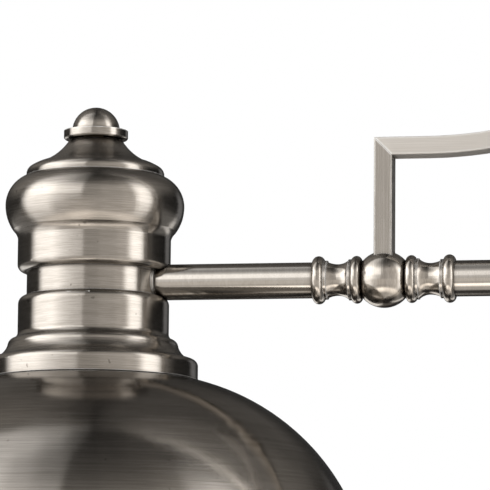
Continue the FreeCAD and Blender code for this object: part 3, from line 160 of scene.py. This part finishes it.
HALF_TURN = math.pi
QUARTER_TURN = math.pi / 2
SECOND_REFLECTION = 0.4
FIRST_REFLECTION_DEPTH = 2.5
AMBIENT_COLOUR = (0.99, 0.995, 1.0)
AMBIENT_STRENGTH = 0.96
KEY_SIZE = 1.6
KEY_ENERGY = 20
KEY_PLACE = (-1.8, -1.6, 2.6)
KEY_TARGET = (-0.2, 0.0, 0.7)
FLOOR_Z = -0.0003
FLOOR_REACH = 40.0
FLOOR_DEEP = (0.87, 0.868, 0.862)
FLOOR_LIGHT = (0.90, 0.898, 0.892)
FLOOR_SCALE = 3.0
SOFTBOX_COLOUR = (1.0, 0.985, 0.965)
ROOM_COLOUR = (1.0, 0.94, 0.87)
PALE_FLOOR_COLOUR = (1.0, 0.98, 0.95)
LOW_SOFTBOX_RISE = [(-42, 0), (-32, 0.6), (-14, 1), (-6, 0.9), (-2, 0)]
PALE_FLOOR_RISE = [(-64, 0), (-50, 0.8), (-14, 1), (-5, 0)]

# What the metal mirrors. Each light has a profile of (degrees, radiance) across and one up, which are
# multiplied, and a colour; the lights are added. Across is counted from the camera, to its right.
MIRRORED_LIGHTS = [
    {
        "name": "left softbox",
        "across": [
            (-108, 0), (-104, 0.5), (-96, 1.25), (-64, 1.3), (-55, 1.0), (-45, 0.66), (-31, 0.38),
            (-15.6, 0.22), (-14.6, 0),
        ],
        "up": [
            (-7, 0), (-2, 0.9), (3, 1), (36, 1), (46, 0.6), (56, 0.5), (72, 0.42), (82, 0.25), (90, 0.06),
        ],
        "colour": SOFTBOX_COLOUR,
    },
    {
        "name": "left softbox, upper part",
        "across": [(-102, 0), (-92, 0.5), (-50, 0.45), (-30, 0.5), (-15.6, 0.5), (-14.6, 0)],
        "up": [(9, 0), (15, 1), (33, 1), (44, 0.4), (56, 0.1), (62, 0)],
        "colour": SOFTBOX_COLOUR,
    },
    {
        "name": "left softbox, lower part",
        "across": [(-106, 0), (-96, 0.85), (-64, 0.85), (-52, 0.3), (-30, 0)],
        "up": LOW_SOFTBOX_RISE,
        "colour": SOFTBOX_COLOUR,
    },
    {
        "name": "right softbox, lower part",
        "across": [(54, 0), (60, 0.4), (64, 0.8), (76, 0.8), (84, 0)],
        "up": LOW_SOFTBOX_RISE,
        "colour": SOFTBOX_COLOUR,
    },
    {
        "name": "right softbox",
        "across": [(50, 0), (54, 0.2), (57, 0.7), (62, 1.3), (74, 1.35), (78, 1.1), (84, 0)],
        "up": [(-6, 0), (-2, 1), (32, 1), (42, 0.5), (50, 0.2), (62, 0)],
        "colour": SOFTBOX_COLOUR,
    },
    {
        "name": "room in front",
        "across": [
            (-112, 0.03), (-96, 0.25), (-40, 0.34), (-14, 0.33), (6, 0.36), (12, 0.42), (34, 0.46),
            (42, 0.55), (56, 0.55), (84, 0.3), (94, 0.1), (104, 0.02), (128, 0.01),
        ],
        "up": [(-10, 0.8), (-3, 1), (36, 1), (48, 0.45), (60, 0.2), (76, 0.08), (90, 0.04)],
        "colour": ROOM_COLOUR,
    },
    {
        "name": "table below",
        "across": [
            (-120, 0.1), (-100, 0.4), (-50, 0.5), (-30, 0.8), (-12, 0.8), (10, 0.5), (60, 0.5),
            (85, 0.3), (110, 0.06),
        ],
        "up": [
            (-90, 0), (-84, 0.08), (-76, 0.22), (-66, 0.16), (-60, 0.3), (-54, 1.2), (-43, 1.75),
            (-38, 0.4), (-31, 0.12), (-25, 0.3), (-8, 0.32), (-3, 0),
        ],
        "colour": (1.0, 0.92, 0.83),
    },
    {
        "name": "thin tube on the right",
        "across": [(86.6, 0), (87.4, 1.2), (88.6, 1.2), (89.4, 0)],
        "up": [(20, 0), (30, 1), (76, 1), (82, 0)],
        "colour": (1.0, 0.96, 0.9),
    },
    {
        "name": "pale wall behind",
        "across": [(134, 0), (142, 0.16), (152, 0.15), (157, 0.02), (180, 0.02)],
        "up": [(-50, 0), (-10, 0.6), (0, 1), (14, 1), (22, 0)],
        "colour": (0.98, 0.98, 1.0),
    },
    {
        "name": "ceiling behind on the left",
        "across": [(-180, 0.03), (-150, 0.1), (-126, 0.18), (-100, 0.08), (-80, 0)],
        "up": [(10, 0), (22, 1), (62, 1), (90, 0.5)],
        "colour": (1.0, 0.93, 0.85),
    },
    {
        "name": "ceiling on the right",
        "across": [
            (84, 0), (90, 0.16), (110, 0.14), (128, 0.11), (142, 0.06), (160, 0.07), (180, 0.02),
        ],
        "up": [(16, 0), (30, 1), (76, 1), (90, 0.5)],
        "colour": ROOM_COLOUR,
    },
    {
        "name": "pale floor behind on the left",
        "across": [(-177, 0), (-170, 0.85), (-154, 0.8), (-142, 0.15), (-118, 0.12), (-106, 0)],
        "up": PALE_FLOOR_RISE,
        "colour": PALE_FLOOR_COLOUR,
    },
    {
        "name": "pale floor behind on the right",
        "across": [(98, 0), (108, 0.12), (134, 0.15), (139, 0.7), (146, 0.7), (150, 0)],
        "up": PALE_FLOOR_RISE,
        "colour": PALE_FLOOR_COLOUR,
    },
]


# Node helpers


class Graph:
    """A node tree with short calls for adding and wiring nodes."""

    def __init__(self, tree):
        self.nodes = tree.nodes
        self.links = tree.links
        self.nodes.clear()

    def add(self, kind, inputs=None, **settings):
        """A new node with its settings; each input is a number, a colour, a socket or a node."""
        made = self.nodes.new(kind)
        for key, value in settings.items():
            setattr(made, key, value)
        for key, value in (inputs or {}).items():
            self.feed(made.inputs[key], value)
        return made

    def feed(self, socket, value):
        if isinstance(value, bpy.types.NodeSocket):
            self.links.new(value, socket)
        elif isinstance(value, bpy.types.Node):
            self.links.new(value.outputs[0], socket)
        else:
            socket.default_value = value

    def math(self, operation, *values, clamp=False):
        inputs = dict(enumerate(values))
        return self.add("ShaderNodeMath", inputs, operation=operation, use_clamp=clamp).outputs[0]

    def vector(self, operation, inputs):
        """A vector sum; its outputs are the Vector and the Value."""
        return self.add("ShaderNodeVectorMath", inputs, operation=operation).outputs

    def ramp(self, value, stops):
        """Ramp through (position, grey) stops."""
        made = self.add("ShaderNodeValToRGB", {"Fac": value})
        band = made.color_ramp.elements
        while len(band) < len(stops):
            band.new(0.5)
        for element, (position, grey) in zip(band, stops):
            element.position = position
            element.color = (grey, grey, grey, 1.0)
        return made.outputs["Color"]

    def span(self, value, low, high, new_low=0.0, new_high=1.0):
        """The value mapped from low..high to new_low..new_high, and held at the ends."""
        inputs = {"Value": value, "From Min": low, "From Max": high, "To Min": new_low, "To Max": new_high}
        return self.add("ShaderNodeMapRange", inputs).outputs["Result"]

    def mix(self, factor, first, second):
        """From the first colour at factor 0 to the second at 1."""
        made = self.add("ShaderNodeMix", data_type="RGBA")
        self.feed(made.inputs["Factor"], factor)
        self.feed(made.inputs["A"], first)
        self.feed(made.inputs["B"], second)
        return made.outputs["Result"]

    def coordinates(self):
        return self.add("ShaderNodeTexCoord").outputs


def material(name):
    made = bpy.data.materials.new(name)
    made.use_nodes = True
    return made, Graph(made.node_tree)


def finish_surface(graph, shader):
    graph.add("ShaderNodeOutputMaterial", {"Surface": shader})


def principled(graph, inputs):
    finish_surface(graph, graph.add("ShaderNodeBsdfPrincipled", inputs))


def opaque(colour):
    return (*colour, 1.0)


def blend(graph, *parts):
    """Weighted sum of (value, weight) pairs."""
    total = 0.0
    for value, weight in parts:
        total = graph.math("MULTIPLY_ADD", value, weight, total)
    return total


def object_noise(graph, scale, detail=4.0, roughness=0.6, **settings):
    """Noise in the object's own space, so it stays on the piece in every view and pose."""
    place = graph.coordinates()["Object"]
    inputs = {"Vector": place, "Scale": scale, "Detail": detail, "Roughness": roughness}
    return graph.add("ShaderNodeTexNoise", inputs, **settings).outputs["Fac"]


def round_axis(graph, axis, centre):
    """(cosine, sine, distance along, radius) about an axis, which have no seam."""
    place = graph.coordinates()["Object"]
    local = graph.vector("SUBTRACT", {0: place, 1: centre})[0]
    parts = graph.add("ShaderNodeSeparateXYZ", {0: local}).outputs
    order = {"X": (1, 2, 0), "Z": (0, 1, 2)}[axis]
    a, b, along = (parts[i] for i in order)
    squares = graph.math("ADD", graph.math("POWER", a, 2.0), graph.math("POWER", b, 2.0))
    radius = graph.math("SQRT", squares)
    safe = graph.math("MAXIMUM", radius, 1e-5)
    return graph.math("DIVIDE", a, safe), graph.math("DIVIDE", b, safe), along, radius


def round_grain(graph, around, lines, wind, detail=3.0, seed=0.0):
    """Noise drawn out round the axis, as brushing in a lathe leaves it."""
    cosine, sine, along, radius = around
    parts = {
        "X": graph.math("MULTIPLY", cosine, wind),
        "Y": graph.math("MULTIPLY", sine, wind),
        "Z": graph.math("MULTIPLY_ADD", along, lines, seed),
    }
    inputs = {
        "Vector": graph.add("ShaderNodeCombineXYZ", parts),
        "W": graph.math("MULTIPLY", radius, lines),
        "Scale": 1.0,
        "Detail": detail,
        "Roughness": 0.6,
    }
    return graph.add("ShaderNodeTexNoise", inputs, noise_dimensions="4D").outputs["Fac"]


def long_grain(graph, axis, lines, wind):
    """Noise drawn out along an axis, as brushing leaves it on a straight bar."""
    stretch = [wind if letter == axis else lines for letter in "XYZ"]
    vector = graph.vector("MULTIPLY", {0: graph.coordinates()["Object"], 1: stretch})[0]
    inputs = {"Vector": vector, "Scale": 1.0, "Detail": 3.0, "Roughness": 0.6}
    return graph.add("ShaderNodeTexNoise", inputs).outputs["Fac"]


def facing(graph, centre):
    """1 where the surface looks towards the centre, 0 where it looks away."""
    coordinates = graph.coordinates()
    way = graph.vector("SUBTRACT", {0: centre, 1: coordinates["Object"]})[0]
    inward = graph.vector("DOT_PRODUCT", {0: way, 1: coordinates["Normal"]})["Value"]
    return graph.math("GREATER_THAN", inward, 0.0)


def bumped(graph, height, strength, distance, normal):
    inputs = {"Height": height, "Strength": strength, "Distance": distance, "Normal": normal}
    return graph.add("ShaderNodeBump", inputs)


def rounded_edges(graph, radius):
    return graph.add("ShaderNodeBevel", {"Radius": radius}, samples=6)


def relief(graph, height, strength, distance, edge):
    """Bump over softly broken edges."""
    return bumped(graph, height, strength, distance, rounded_edges(graph, edge))


def worn_and_highlit_edge(graph, reach):
    """1 on an outer edge, which is lightened there as wear and as a painted highlight, 0 on open faces,
    broken up by noise.
    """
    around = graph.add("ShaderNodeBevel", {"Radius": reach}, samples=8)
    face = graph.add("ShaderNodeNewGeometry").outputs["Normal"]
    match = graph.vector("DOT_PRODUCT", {0: around.outputs[0], 1: face})["Value"]
    edge = graph.span(match, 0.995, 0.95)
    edge_breakup = graph.span(object_noise(graph, WORN_AND_HIGHLIT_SCALE), 0.25, 0.6, 0.35, 1.0)
    return graph.math("MULTIPLY", edge, edge_breakup, clamp=True)


# Finishes


def brushed_nickel(
    name,
    axis,
    centre,
    lay,
    light=NICKEL_LIGHT,
    deep=NICKEL_DEEP,
    roughness=0.14,
    anisotropy=0.6,
    metallic=1.0,
    wind=3.2,
    scratch=0.4,
    edge_reach=0.0009,
    enamel_centre=None,
):
    """Satin nickel brushed round an axis or along it, with haze, edges lightened as wear and as a painted
    highlight, nicks, and painted shade darkening the crevices.

    With an enamel centre, the faces that look towards it are white enamel.
    """
    made, graph = material(name)
    if lay == ROUND_AXIS:
        around = round_axis(graph, axis, centre)
        broad = round_grain(graph, around, BROAD_LINES, BROAD_WIND, 2.0)
        fine = round_grain(graph, around, FINE_LINES, wind, seed=FINE_SEED)
        hair = round_grain(graph, around, HAIR_LINES, HAIR_TO_FINE_WIND * wind, seed=HAIR_SEED)
    else:
        broad = long_grain(graph, axis, *BAR_BROAD)
        fine = long_grain(graph, axis, *BAR_FINE)
        hair = long_grain(graph, axis, *BAR_HAIR)
    haze = object_noise(graph, HAZE_SCALE, 3.0)
    worn = worn_and_highlit_edge(graph, edge_reach)
    nick = graph.span(object_noise(graph, NICK_SCALE, 2.0, 0.4), 0.735, 0.765)
    # Ambient occlusion: it finds the crevices and recesses for the painted shade below
    crevice_shade_occlusion = graph.add("ShaderNodeAmbientOcclusion", {"Distance": CREVICE_SHADE_REACH}, samples=8)

    tone = blend(graph, (fine, 0.4), (hair, 0.25), (broad, 0.25), (haze, 0.1))
    colour = graph.mix(graph.span(tone, 0.38, 0.6), opaque(deep), opaque(light))
    # Outer edges painted near white: part wear, part a painted highlight
    colour = graph.mix(graph.math("MULTIPLY", worn, WORN_AND_HIGHLIT_COVER), colour, opaque(WORN_AND_HIGHLIT_NICKEL))
    colour = graph.mix(graph.math("MULTIPLY", nick, NICK_COVER), colour, opaque(DARK_NICK_AND_CREVICE_SHADE))
    # Painted shade: the colour goes dark in crevices and recesses where little light reaches
    colour = graph.mix(graph.span(crevice_shade_occlusion.outputs["AO"], 0.42, 0.9), opaque(DARK_NICK_AND_CREVICE_SHADE), colour)

    # Less metal on those edges, so the painted highlight shows even where nothing bright is mirrored
    metal = graph.math("MULTIPLY_ADD", worn, -WORN_AND_HIGHLIT_HAZE, metallic)
    spread = blend(graph, (fine, 0.6), (haze, 0.4))
    rough = graph.span(spread, 0.32, 0.68, roughness - ROUGHNESS_DRIFT, roughness + ROUGHNESS_DRIFT)
    if enamel_centre is not None:
        inside = facing(graph, enamel_centre)
        speck = graph.span(object_noise(graph, ENAMEL_SCALE, 5.0), 0.3, 0.7)
        enamel = graph.mix(speck, opaque(ENAMEL_DEEP), opaque(ENAMEL_LIGHT))
        colour = graph.mix(inside, colour, enamel)
        metal = graph.math("MULTIPLY", metal, graph.math("SUBTRACT", 1.0, inside))
        rough = graph.math("ADD", rough, graph.math("MULTIPLY", inside, ENAMEL_HAZE))

    height = blend(graph, (fine, 0.6), (hair, 0.4))
    principled(graph, {
        "Base Color": colour,
        "Metallic": metal,
        "Roughness": rough,
        "Anisotropic": anisotropy,
        "Anisotropic Rotation": lay,
        "Normal": relief(graph, height, scratch, NICKEL_RELIEF, NICKEL_EDGE),
        "Tangent": graph.add("ShaderNodeTangent", direction_type="RADIAL", axis=axis),
    })
    return made


def plated_steel(name, light, deep, roughness):
    """Plated turned steel or brass: small spangle, machining lines and a little tarnish."""
    made, graph = material(name)
    place = graph.coordinates()["Object"]
    cells = graph.add("ShaderNodeTexVoronoi", {"Vector": place, "Scale": SPANGLE_SCALE})
    spangle = cells.outputs["Distance"]
    lines = long_grain(graph, "X", *MACHINED_LINES)
    tarnish = object_noise(graph, TARNISH_SCALE, 5.0)
    tone = blend(graph, (spangle, 0.25), (lines, 0.35), (tarnish, 0.4))
    height = blend(graph, (lines, 0.6), (spangle, 0.4))
    principled(graph, {
        "Base Color": graph.mix(graph.span(tone, 0.32, 0.62), opaque(deep), opaque(light)),
        "Metallic": 1.0,
        "Roughness": graph.span(tarnish, 0.3, 0.7, roughness - 0.06, roughness + 0.1),
        "Normal": relief(graph, height, 0.4, 0.00003, SMALL_EDGE),
    })
    return made


def moulded(name, light, deep, roughness, grain=SKIN_GRAIN, coat=0.0):
    """Moulded plastic or sheathing: fine skin texture, flow marks and slight colour drift."""
    made, graph = material(name)
    skin = object_noise(graph, grain, 5.0, 0.65)
    drift = object_noise(graph, FLOW_SCALE, 3.0, 0.5)
    tone = blend(graph, (skin, 0.4), (drift, 0.6))
    principled(graph, {
        "Base Color": graph.mix(graph.span(tone, 0.35, 0.65), opaque(deep), opaque(light)),
        "Roughness": graph.span(tone, 0.3, 0.7, roughness - 0.07, roughness + 0.07),
        "Coat Weight": coat,
        "Coat Roughness": 0.12,
        "Normal": relief(graph, skin, 0.3, 0.00006, SMALL_EDGE),
    })
    return made


def raw_casting(name):
    """Black painted sand casting: coarse pits, paint worn on the high grains."""
    made, graph = material(name)
    sand = object_noise(graph, SAND_SCALE, 6.0, 0.7)
    lumps = object_noise(graph, LUMP_SCALE)
    tone = blend(graph, (sand, 0.6), (lumps, 0.4))
    paint, iron = opaque((0.022, 0.022, 0.024)), opaque((0.10, 0.095, 0.09))
    principled(graph, {
        "Base Color": graph.mix(graph.span(tone, 0.35, 0.68), paint, iron),
        "Metallic": 0.35,
        "Roughness": graph.span(sand, 0.3, 0.7, 0.55, 0.85),
        "Normal": relief(graph, tone, 0.8, 0.0005, 0.0006),
    })
    return made


def felt_cloth(name):
    """Dark pressed felt: tangled fibres, loose lint and a soft edge glow."""
    made, graph = material(name)
    fibres = object_noise(graph, FIBRE_SCALE, 6.0, 0.75, noise_type="RIDGED_MULTIFRACTAL")
    matting = object_noise(graph, MAT_SCALE, 5.0)
    lint = object_noise(graph, LINT_SCALE, 2.0)
    tone = blend(graph, (fibres, 0.35), (matting, 0.35), (lint, 0.3))
    deep, light = opaque((0.02, 0.028, 0.022)), opaque((0.085, 0.105, 0.085))
    principled(graph, {
        "Base Color": graph.mix(graph.span(tone, 0.25, 0.75), deep, light),
        "Roughness": graph.span(matting, 0.3, 0.7, 0.86, 0.98),
        "Sheen Weight": 0.5,
        "Sheen Roughness": 0.5,
        "Normal": relief(graph, tone, 0.7, 0.0003, 0.0004),
    })
    return made


def frosted_glass(name):
    """Pearl lamp glass, frosted inside."""
    made, graph = material(name)
    frost = object_noise(graph, FROST_SCALE, 5.0)
    cloud = object_noise(graph, CLOUD_SCALE, 3.0)
    tone = blend(graph, (frost, 0.5), (cloud, 0.5))
    deep, light = opaque((0.88, 0.88, 0.86)), opaque((0.97, 0.97, 0.955))
    principled(graph, {
        "Base Color": graph.mix(graph.span(tone, 0.3, 0.7), deep, light),
        "Roughness": graph.span(tone, 0.3, 0.7, 0.28, 0.42),
        "Transmission Weight": 0.55,
        "IOR": 1.5,
        "Coat Weight": 0.6,
        "Coat Roughness": 0.05,
        "Normal": relief(graph, frost, 0.15, 0.00003, SMALL_EDGE),
    })
    return made


# Scene


def stand_in_scene(name, data):
    made = bpy.data.objects.new(name, data)
    bpy.context.scene.collection.objects.link(made)
    return made


def light_profile(graph, value, stops, reach):
    """Radiance along one angle from -reach to reach: a ramp, scaled because it holds at most 1."""
    peak = max(level for _, level in stops)
    points = [((math.radians(angle) + reach) / (2 * reach), level / peak) for angle, level in stops]
    shade = graph.ramp(graph.span(value, -reach, reach), points)
    return graph.math("MULTIPLY", graph.add("ShaderNodeSeparateColor", {0: shade}).outputs[0], peak)


def mirrored_light(graph, light, across, up):
    wide = light_profile(graph, across, light["across"], HALF_TURN)
    high = light_profile(graph, up, light["up"], QUARTER_TURN)
    level = graph.math("MULTIPLY", wide, high)
    return graph.vector("SCALE", {0: light["colour"], "Scale": level})[0]


def make_studio():
    """A soft studio: what metal mirrors, what lights the rest, and plain white behind."""
    world = bpy.data.worlds.new("studio")
    bpy.context.scene.world = world
    world.use_nodes = True
    graph = Graph(world.node_tree)
    x, y, z = graph.add("ShaderNodeSeparateXYZ", {0: graph.coordinates()["Generated"]}).outputs
    azimuth = graph.math("ARCTAN2", x, graph.math("MULTIPLY", y, -1.0))
    turned = graph.math("SUBTRACT", azimuth, math.radians(CAMERA_AZIMUTH))
    across = graph.math("WRAP", turned, HALF_TURN, -HALF_TURN)
    up = graph.math("ARCSINE", z)

    total = (0.0, 0.0, 0.0)
    for light in MIRRORED_LIGHTS:
        total = graph.vector("ADD", {0: total, 1: mirrored_light(graph, light, across, up)})[0]
    path = graph.add("ShaderNodeLightPath").outputs
    again = graph.math("GREATER_THAN", path["Ray Depth"], FIRST_REFLECTION_DEPTH)
    strength = graph.math("MULTIPLY_ADD", again, SECOND_REFLECTION - 1.0, 1.0)
    mirrored = graph.add("ShaderNodeBackground", {"Color": total, "Strength": strength})
    around = {"Color": opaque(AMBIENT_COLOUR), "Strength": AMBIENT_STRENGTH}
    ambient = graph.add("ShaderNodeBackground", around)
    white = {"Color": (1.0, 1.0, 1.0, 1.0), "Strength": 1.0}
    backdrop = graph.add("ShaderNodeBackground", white)
    lit = graph.add("ShaderNodeMixShader", {0: path["Is Glossy Ray"], 1: ambient, 2: mirrored})
    seen = graph.add("ShaderNodeMixShader", {0: path["Is Camera Ray"], 1: lit, 2: backdrop})
    graph.add("ShaderNodeOutputWorld", {"Surface": seen})


def make_key_light():
    """A large soft light that only matt surfaces show; metal has its own lights in the studio."""
    data = bpy.data.lights.new("key", "AREA")
    data.shape = "SQUARE"
    data.size = KEY_SIZE
    data.energy = KEY_ENERGY
    light = stand_in_scene("key", data)
    light.location = KEY_PLACE
    light.rotation_mode = "QUATERNION"
    light.rotation_quaternion = (Vector(KEY_PLACE) - Vector(KEY_TARGET)).to_track_quat("Z", "Y")
    light.visible_glossy = False
    light.visible_camera = False


def make_floor():
    """A pale floor just under the felt, clear from below."""
    mesh = bpy.data.meshes.new("floor")
    signs = [(-1, -1), (1, -1), (1, 1), (-1, 1)]
    corners = [(x * FLOOR_REACH, y * FLOOR_REACH, FLOOR_Z) for x, y in signs]
    mesh.from_pydata(corners, [], [(0, 1, 2, 3)])
    made, graph = material("floor_paint")
    inputs = {"Vector": graph.coordinates()["Object"], "Scale": FLOOR_SCALE}
    speck = graph.add("ShaderNodeTexNoise", inputs).outputs["Fac"]
    colour = graph.mix(speck, opaque(FLOOR_DEEP), opaque(FLOOR_LIGHT))
    paint = graph.add("ShaderNodeBsdfPrincipled", {"Base Color": colour, "Roughness": 0.85})
    below = graph.add("ShaderNodeNewGeometry").outputs["Backfacing"]
    clear = graph.add("ShaderNodeBsdfTransparent")
    finish_surface(graph, graph.add("ShaderNodeMixShader", {0: below, 1: paint.outputs[0], 2: clear}))
    mesh.materials.append(made)
    floor = stand_in_scene("floor", mesh)
    floor.visible_glossy = False


def felt_ring(shape, part, rise, radius, bottom, thick):
    """Vertices of one ring of the felt, or its centre alone."""
    height = bottom + rise * thick
    if part == 0.0:
        return [shape.verts.new((0.0, 0.0, height))]
    ring = []
    for step in range(FELT_STEPS):
        angle = 2 * math.pi * step / FELT_STEPS
        cosine, sine = math.cos(angle), math.sin(angle)
        waves = Vector((FUZZ_WAVES * cosine, FUZZ_WAVES * sine, FUZZ_RISE * rise))
        reach = part * radius + FELT_FUZZ * part * noise.noise(waves)
        place = Vector((reach * cosine, reach * sine, height))
        dent = FELT_DENT * (0.5 + 0.5 * noise.noise(place * DENT_SCALE))
        place.z += dent if rise < 0.5 else -dent
        ring.append(shape.verts.new(place))
    return ring


def make_felt():
    """Pressed felt under the foot: a disc with soft, slightly ragged edges and an uneven face."""
    low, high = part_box("felt_pad")
    radius, bottom, thick = high[0] - FELT_FUZZ, low[2], high[2] - low[2]
    shape = bmesh.new()
    rings = [felt_ring(shape, part, rise, radius, bottom, thick) for part, rise in FELT_SECTION]
    for inner, outer in zip(rings, rings[1:]):
        for step in range(FELT_STEPS):
            after = (step + 1) % FELT_STEPS
            if len(inner) == 1:
                shape.faces.new((inner[0], outer[after], outer[step]))
            elif len(outer) == 1:
                shape.faces.new((inner[step], inner[after], outer[0]))
            else:
                shape.faces.new((inner[step], inner[after], outer[after], outer[step]))
    mesh = bpy.data.meshes.new("foot_felt")
    shape.to_mesh(mesh)
    shape.free()
    mesh.shade_smooth()
    piece = stand_in_scene("foot_felt", mesh)
    mesh.materials.append(felt_cloth("felt_dark"))
    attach(piece, "stand")
    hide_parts("felt_pad")


def make_camera():
    data = bpy.data.cameras.new("camera")
    data.lens = CAMERA_LENS
    data.sensor_width = CAMERA_SENSOR
    data.clip_start = CAMERA_NEAR
    data.clip_end = CAMERA_FAR
    camera = stand_in_scene("camera", data)
    a, e = math.radians(CAMERA_AZIMUTH), math.radians(CAMERA_ELEVATION)
    back = Vector((math.sin(a) * math.cos(e), -math.cos(a) * math.cos(e), math.sin(e)))
    camera.location = Vector(CAMERA_TARGET) + back * CAMERA_DISTANCE
    camera.rotation_mode = "QUATERNION"
    roll = Quaternion((0, 0, 1), math.radians(CAMERA_ROLL))
    camera.rotation_quaternion = (-back).to_track_quat("-Z", "Y") @ roll
    bpy.context.scene.camera = camera


make_camera()
make_studio()
make_key_light()
make_floor()
bpy.context.scene.view_settings.view_transform = "Standard"

# Which satin nickel finish each piece has; pieces not listed have the pole's
NICKEL_FINISHES = {
    "nickel_head": {
        "pieces": ("cap_body", "cap_crown", "switch_knob"),
        "finish": {
            "axis": "Z", "centre": ON_HEAD, "lay": ROUND_AXIS, "roughness": 0.19, "anisotropy": 0.86,
        },
    },
    "nickel_shade": {
        "pieces": ("shade_dome",),
        "finish": {
            "axis": "Z", "centre": ON_HEAD, "lay": ROUND_AXIS, "roughness": 0.135, "anisotropy": 0.72,
            "wind": 3.0, "enamel_centre": DOME_CENTRE,
        },
    },
    "nickel_arm": {
        "pieces": ("arm_tube_outer", "arm_tube_inner"),
        "finish": {
            "axis": "X", "centre": ON_ARM, "lay": ROUND_AXIS, "light": BRIGHT_LIGHT,
            "deep": BRIGHT_DEEP, "roughness": 0.12, "anisotropy": 0.8, "scratch": 0.3,
        },
    },
    "nickel_knuckle": {
        "pieces": ("knuckle_sleeve_outer", "knuckle_ball", "knuckle_sleeve_inner"),
        "finish": {
            "axis": "X", "centre": ON_ARM, "lay": ROUND_AXIS, "light": KNUCKLE_LIGHT,
            "deep": KNUCKLE_DEEP, "roughness": 0.15,
        },
    },
    "nickel_bar": {
        "pieces": ("stay_bar",),
        "finish": {
            "axis": "X", "centre": ON_ARM, "lay": ALONG_AXIS, "light": BRIGHT_LIGHT,
            "deep": BRIGHT_DEEP, "roughness": 0.34, "anisotropy": 0.9, "metallic": 0.8,
            "scratch": 0.25, "edge_reach": 0.0016,
        },
    },
    "nickel_post": {
        "pieces": ("stay_post",),
        "finish": {
            "axis": "Z", "centre": ON_POLE, "lay": ALONG_AXIS, "roughness": 0.26, "anisotropy": 0.8,
            "scratch": 0.25, "edge_reach": 0.0016,
        },
    },
    "nickel_clamp": {
        "pieces": ("clamp_knob",),
        "finish": {"axis": "X", "centre": ON_CLAMP, "lay": ROUND_AXIS},
    },
    "nickel_pole": {
        "pieces": (),
        "finish": {
            "axis": "Z", "centre": ON_POLE, "lay": ROUND_AXIS, "light": KNUCKLE_LIGHT,
            "deep": KNUCKLE_DEEP, "metallic": 0.93,
        },
    },
}

# Finish of each material slot other than satin nickel
SLOT_FINISHES = {
    "cast_iron": raw_casting("casting_black"),
    "zinc_steel": plated_steel("zinc_plate", (0.72, 0.74, 0.76), (0.48, 0.49, 0.50), 0.34),
    "brass": plated_steel("brass_bright", (0.86, 0.66, 0.34), (0.60, 0.43, 0.19), 0.26),
    "lamp_cap_alloy": plated_steel("cap_alloy", (0.84, 0.84, 0.83), (0.64, 0.64, 0.63), 0.3),
    "nylon": moulded("nylon_natural", (0.86, 0.85, 0.79), (0.76, 0.74, 0.66), 0.42),
    "black_nylon": moulded("nylon_black", (0.055, 0.055, 0.055), (0.03, 0.03, 0.03), 0.45),
    "phenolic": moulded(
        "phenolic_black", (0.07, 0.06, 0.055), (0.028, 0.024, 0.022), 0.3, coat=0.3
    ),
    "flex_sheath": moulded(
        "sheath_black", (0.055, 0.055, 0.057), (0.03, 0.03, 0.032), 0.5, grain=SHEATH_GRAIN
    ),
    "red_lead": moulded("lead_red", (0.60, 0.055, 0.045), (0.42, 0.03, 0.03), 0.4),
    "white_lead": moulded("lead_white", (0.88, 0.875, 0.85), (0.76, 0.75, 0.72), 0.4),
    "frosted_glass": frosted_glass("pearl_glass"),
}

make_felt()
nickel = {name: brushed_nickel(name, **look["finish"]) for name, look in NICKEL_FINISHES.items()}
finish_of = {piece: name for name, look in NICKEL_FINISHES.items() for piece in look["pieces"]}
for name, item in nodes.items():
    slot_name = item.data.materials[0].name
    if slot_name == "satin_nickel":
        item.data.materials[0] = nickel[finish_of.get(name, "nickel_pole")]
    elif slot_name in SLOT_FINISHES:
        item.data.materials[0] = SLOT_FINISHES[slot_name]
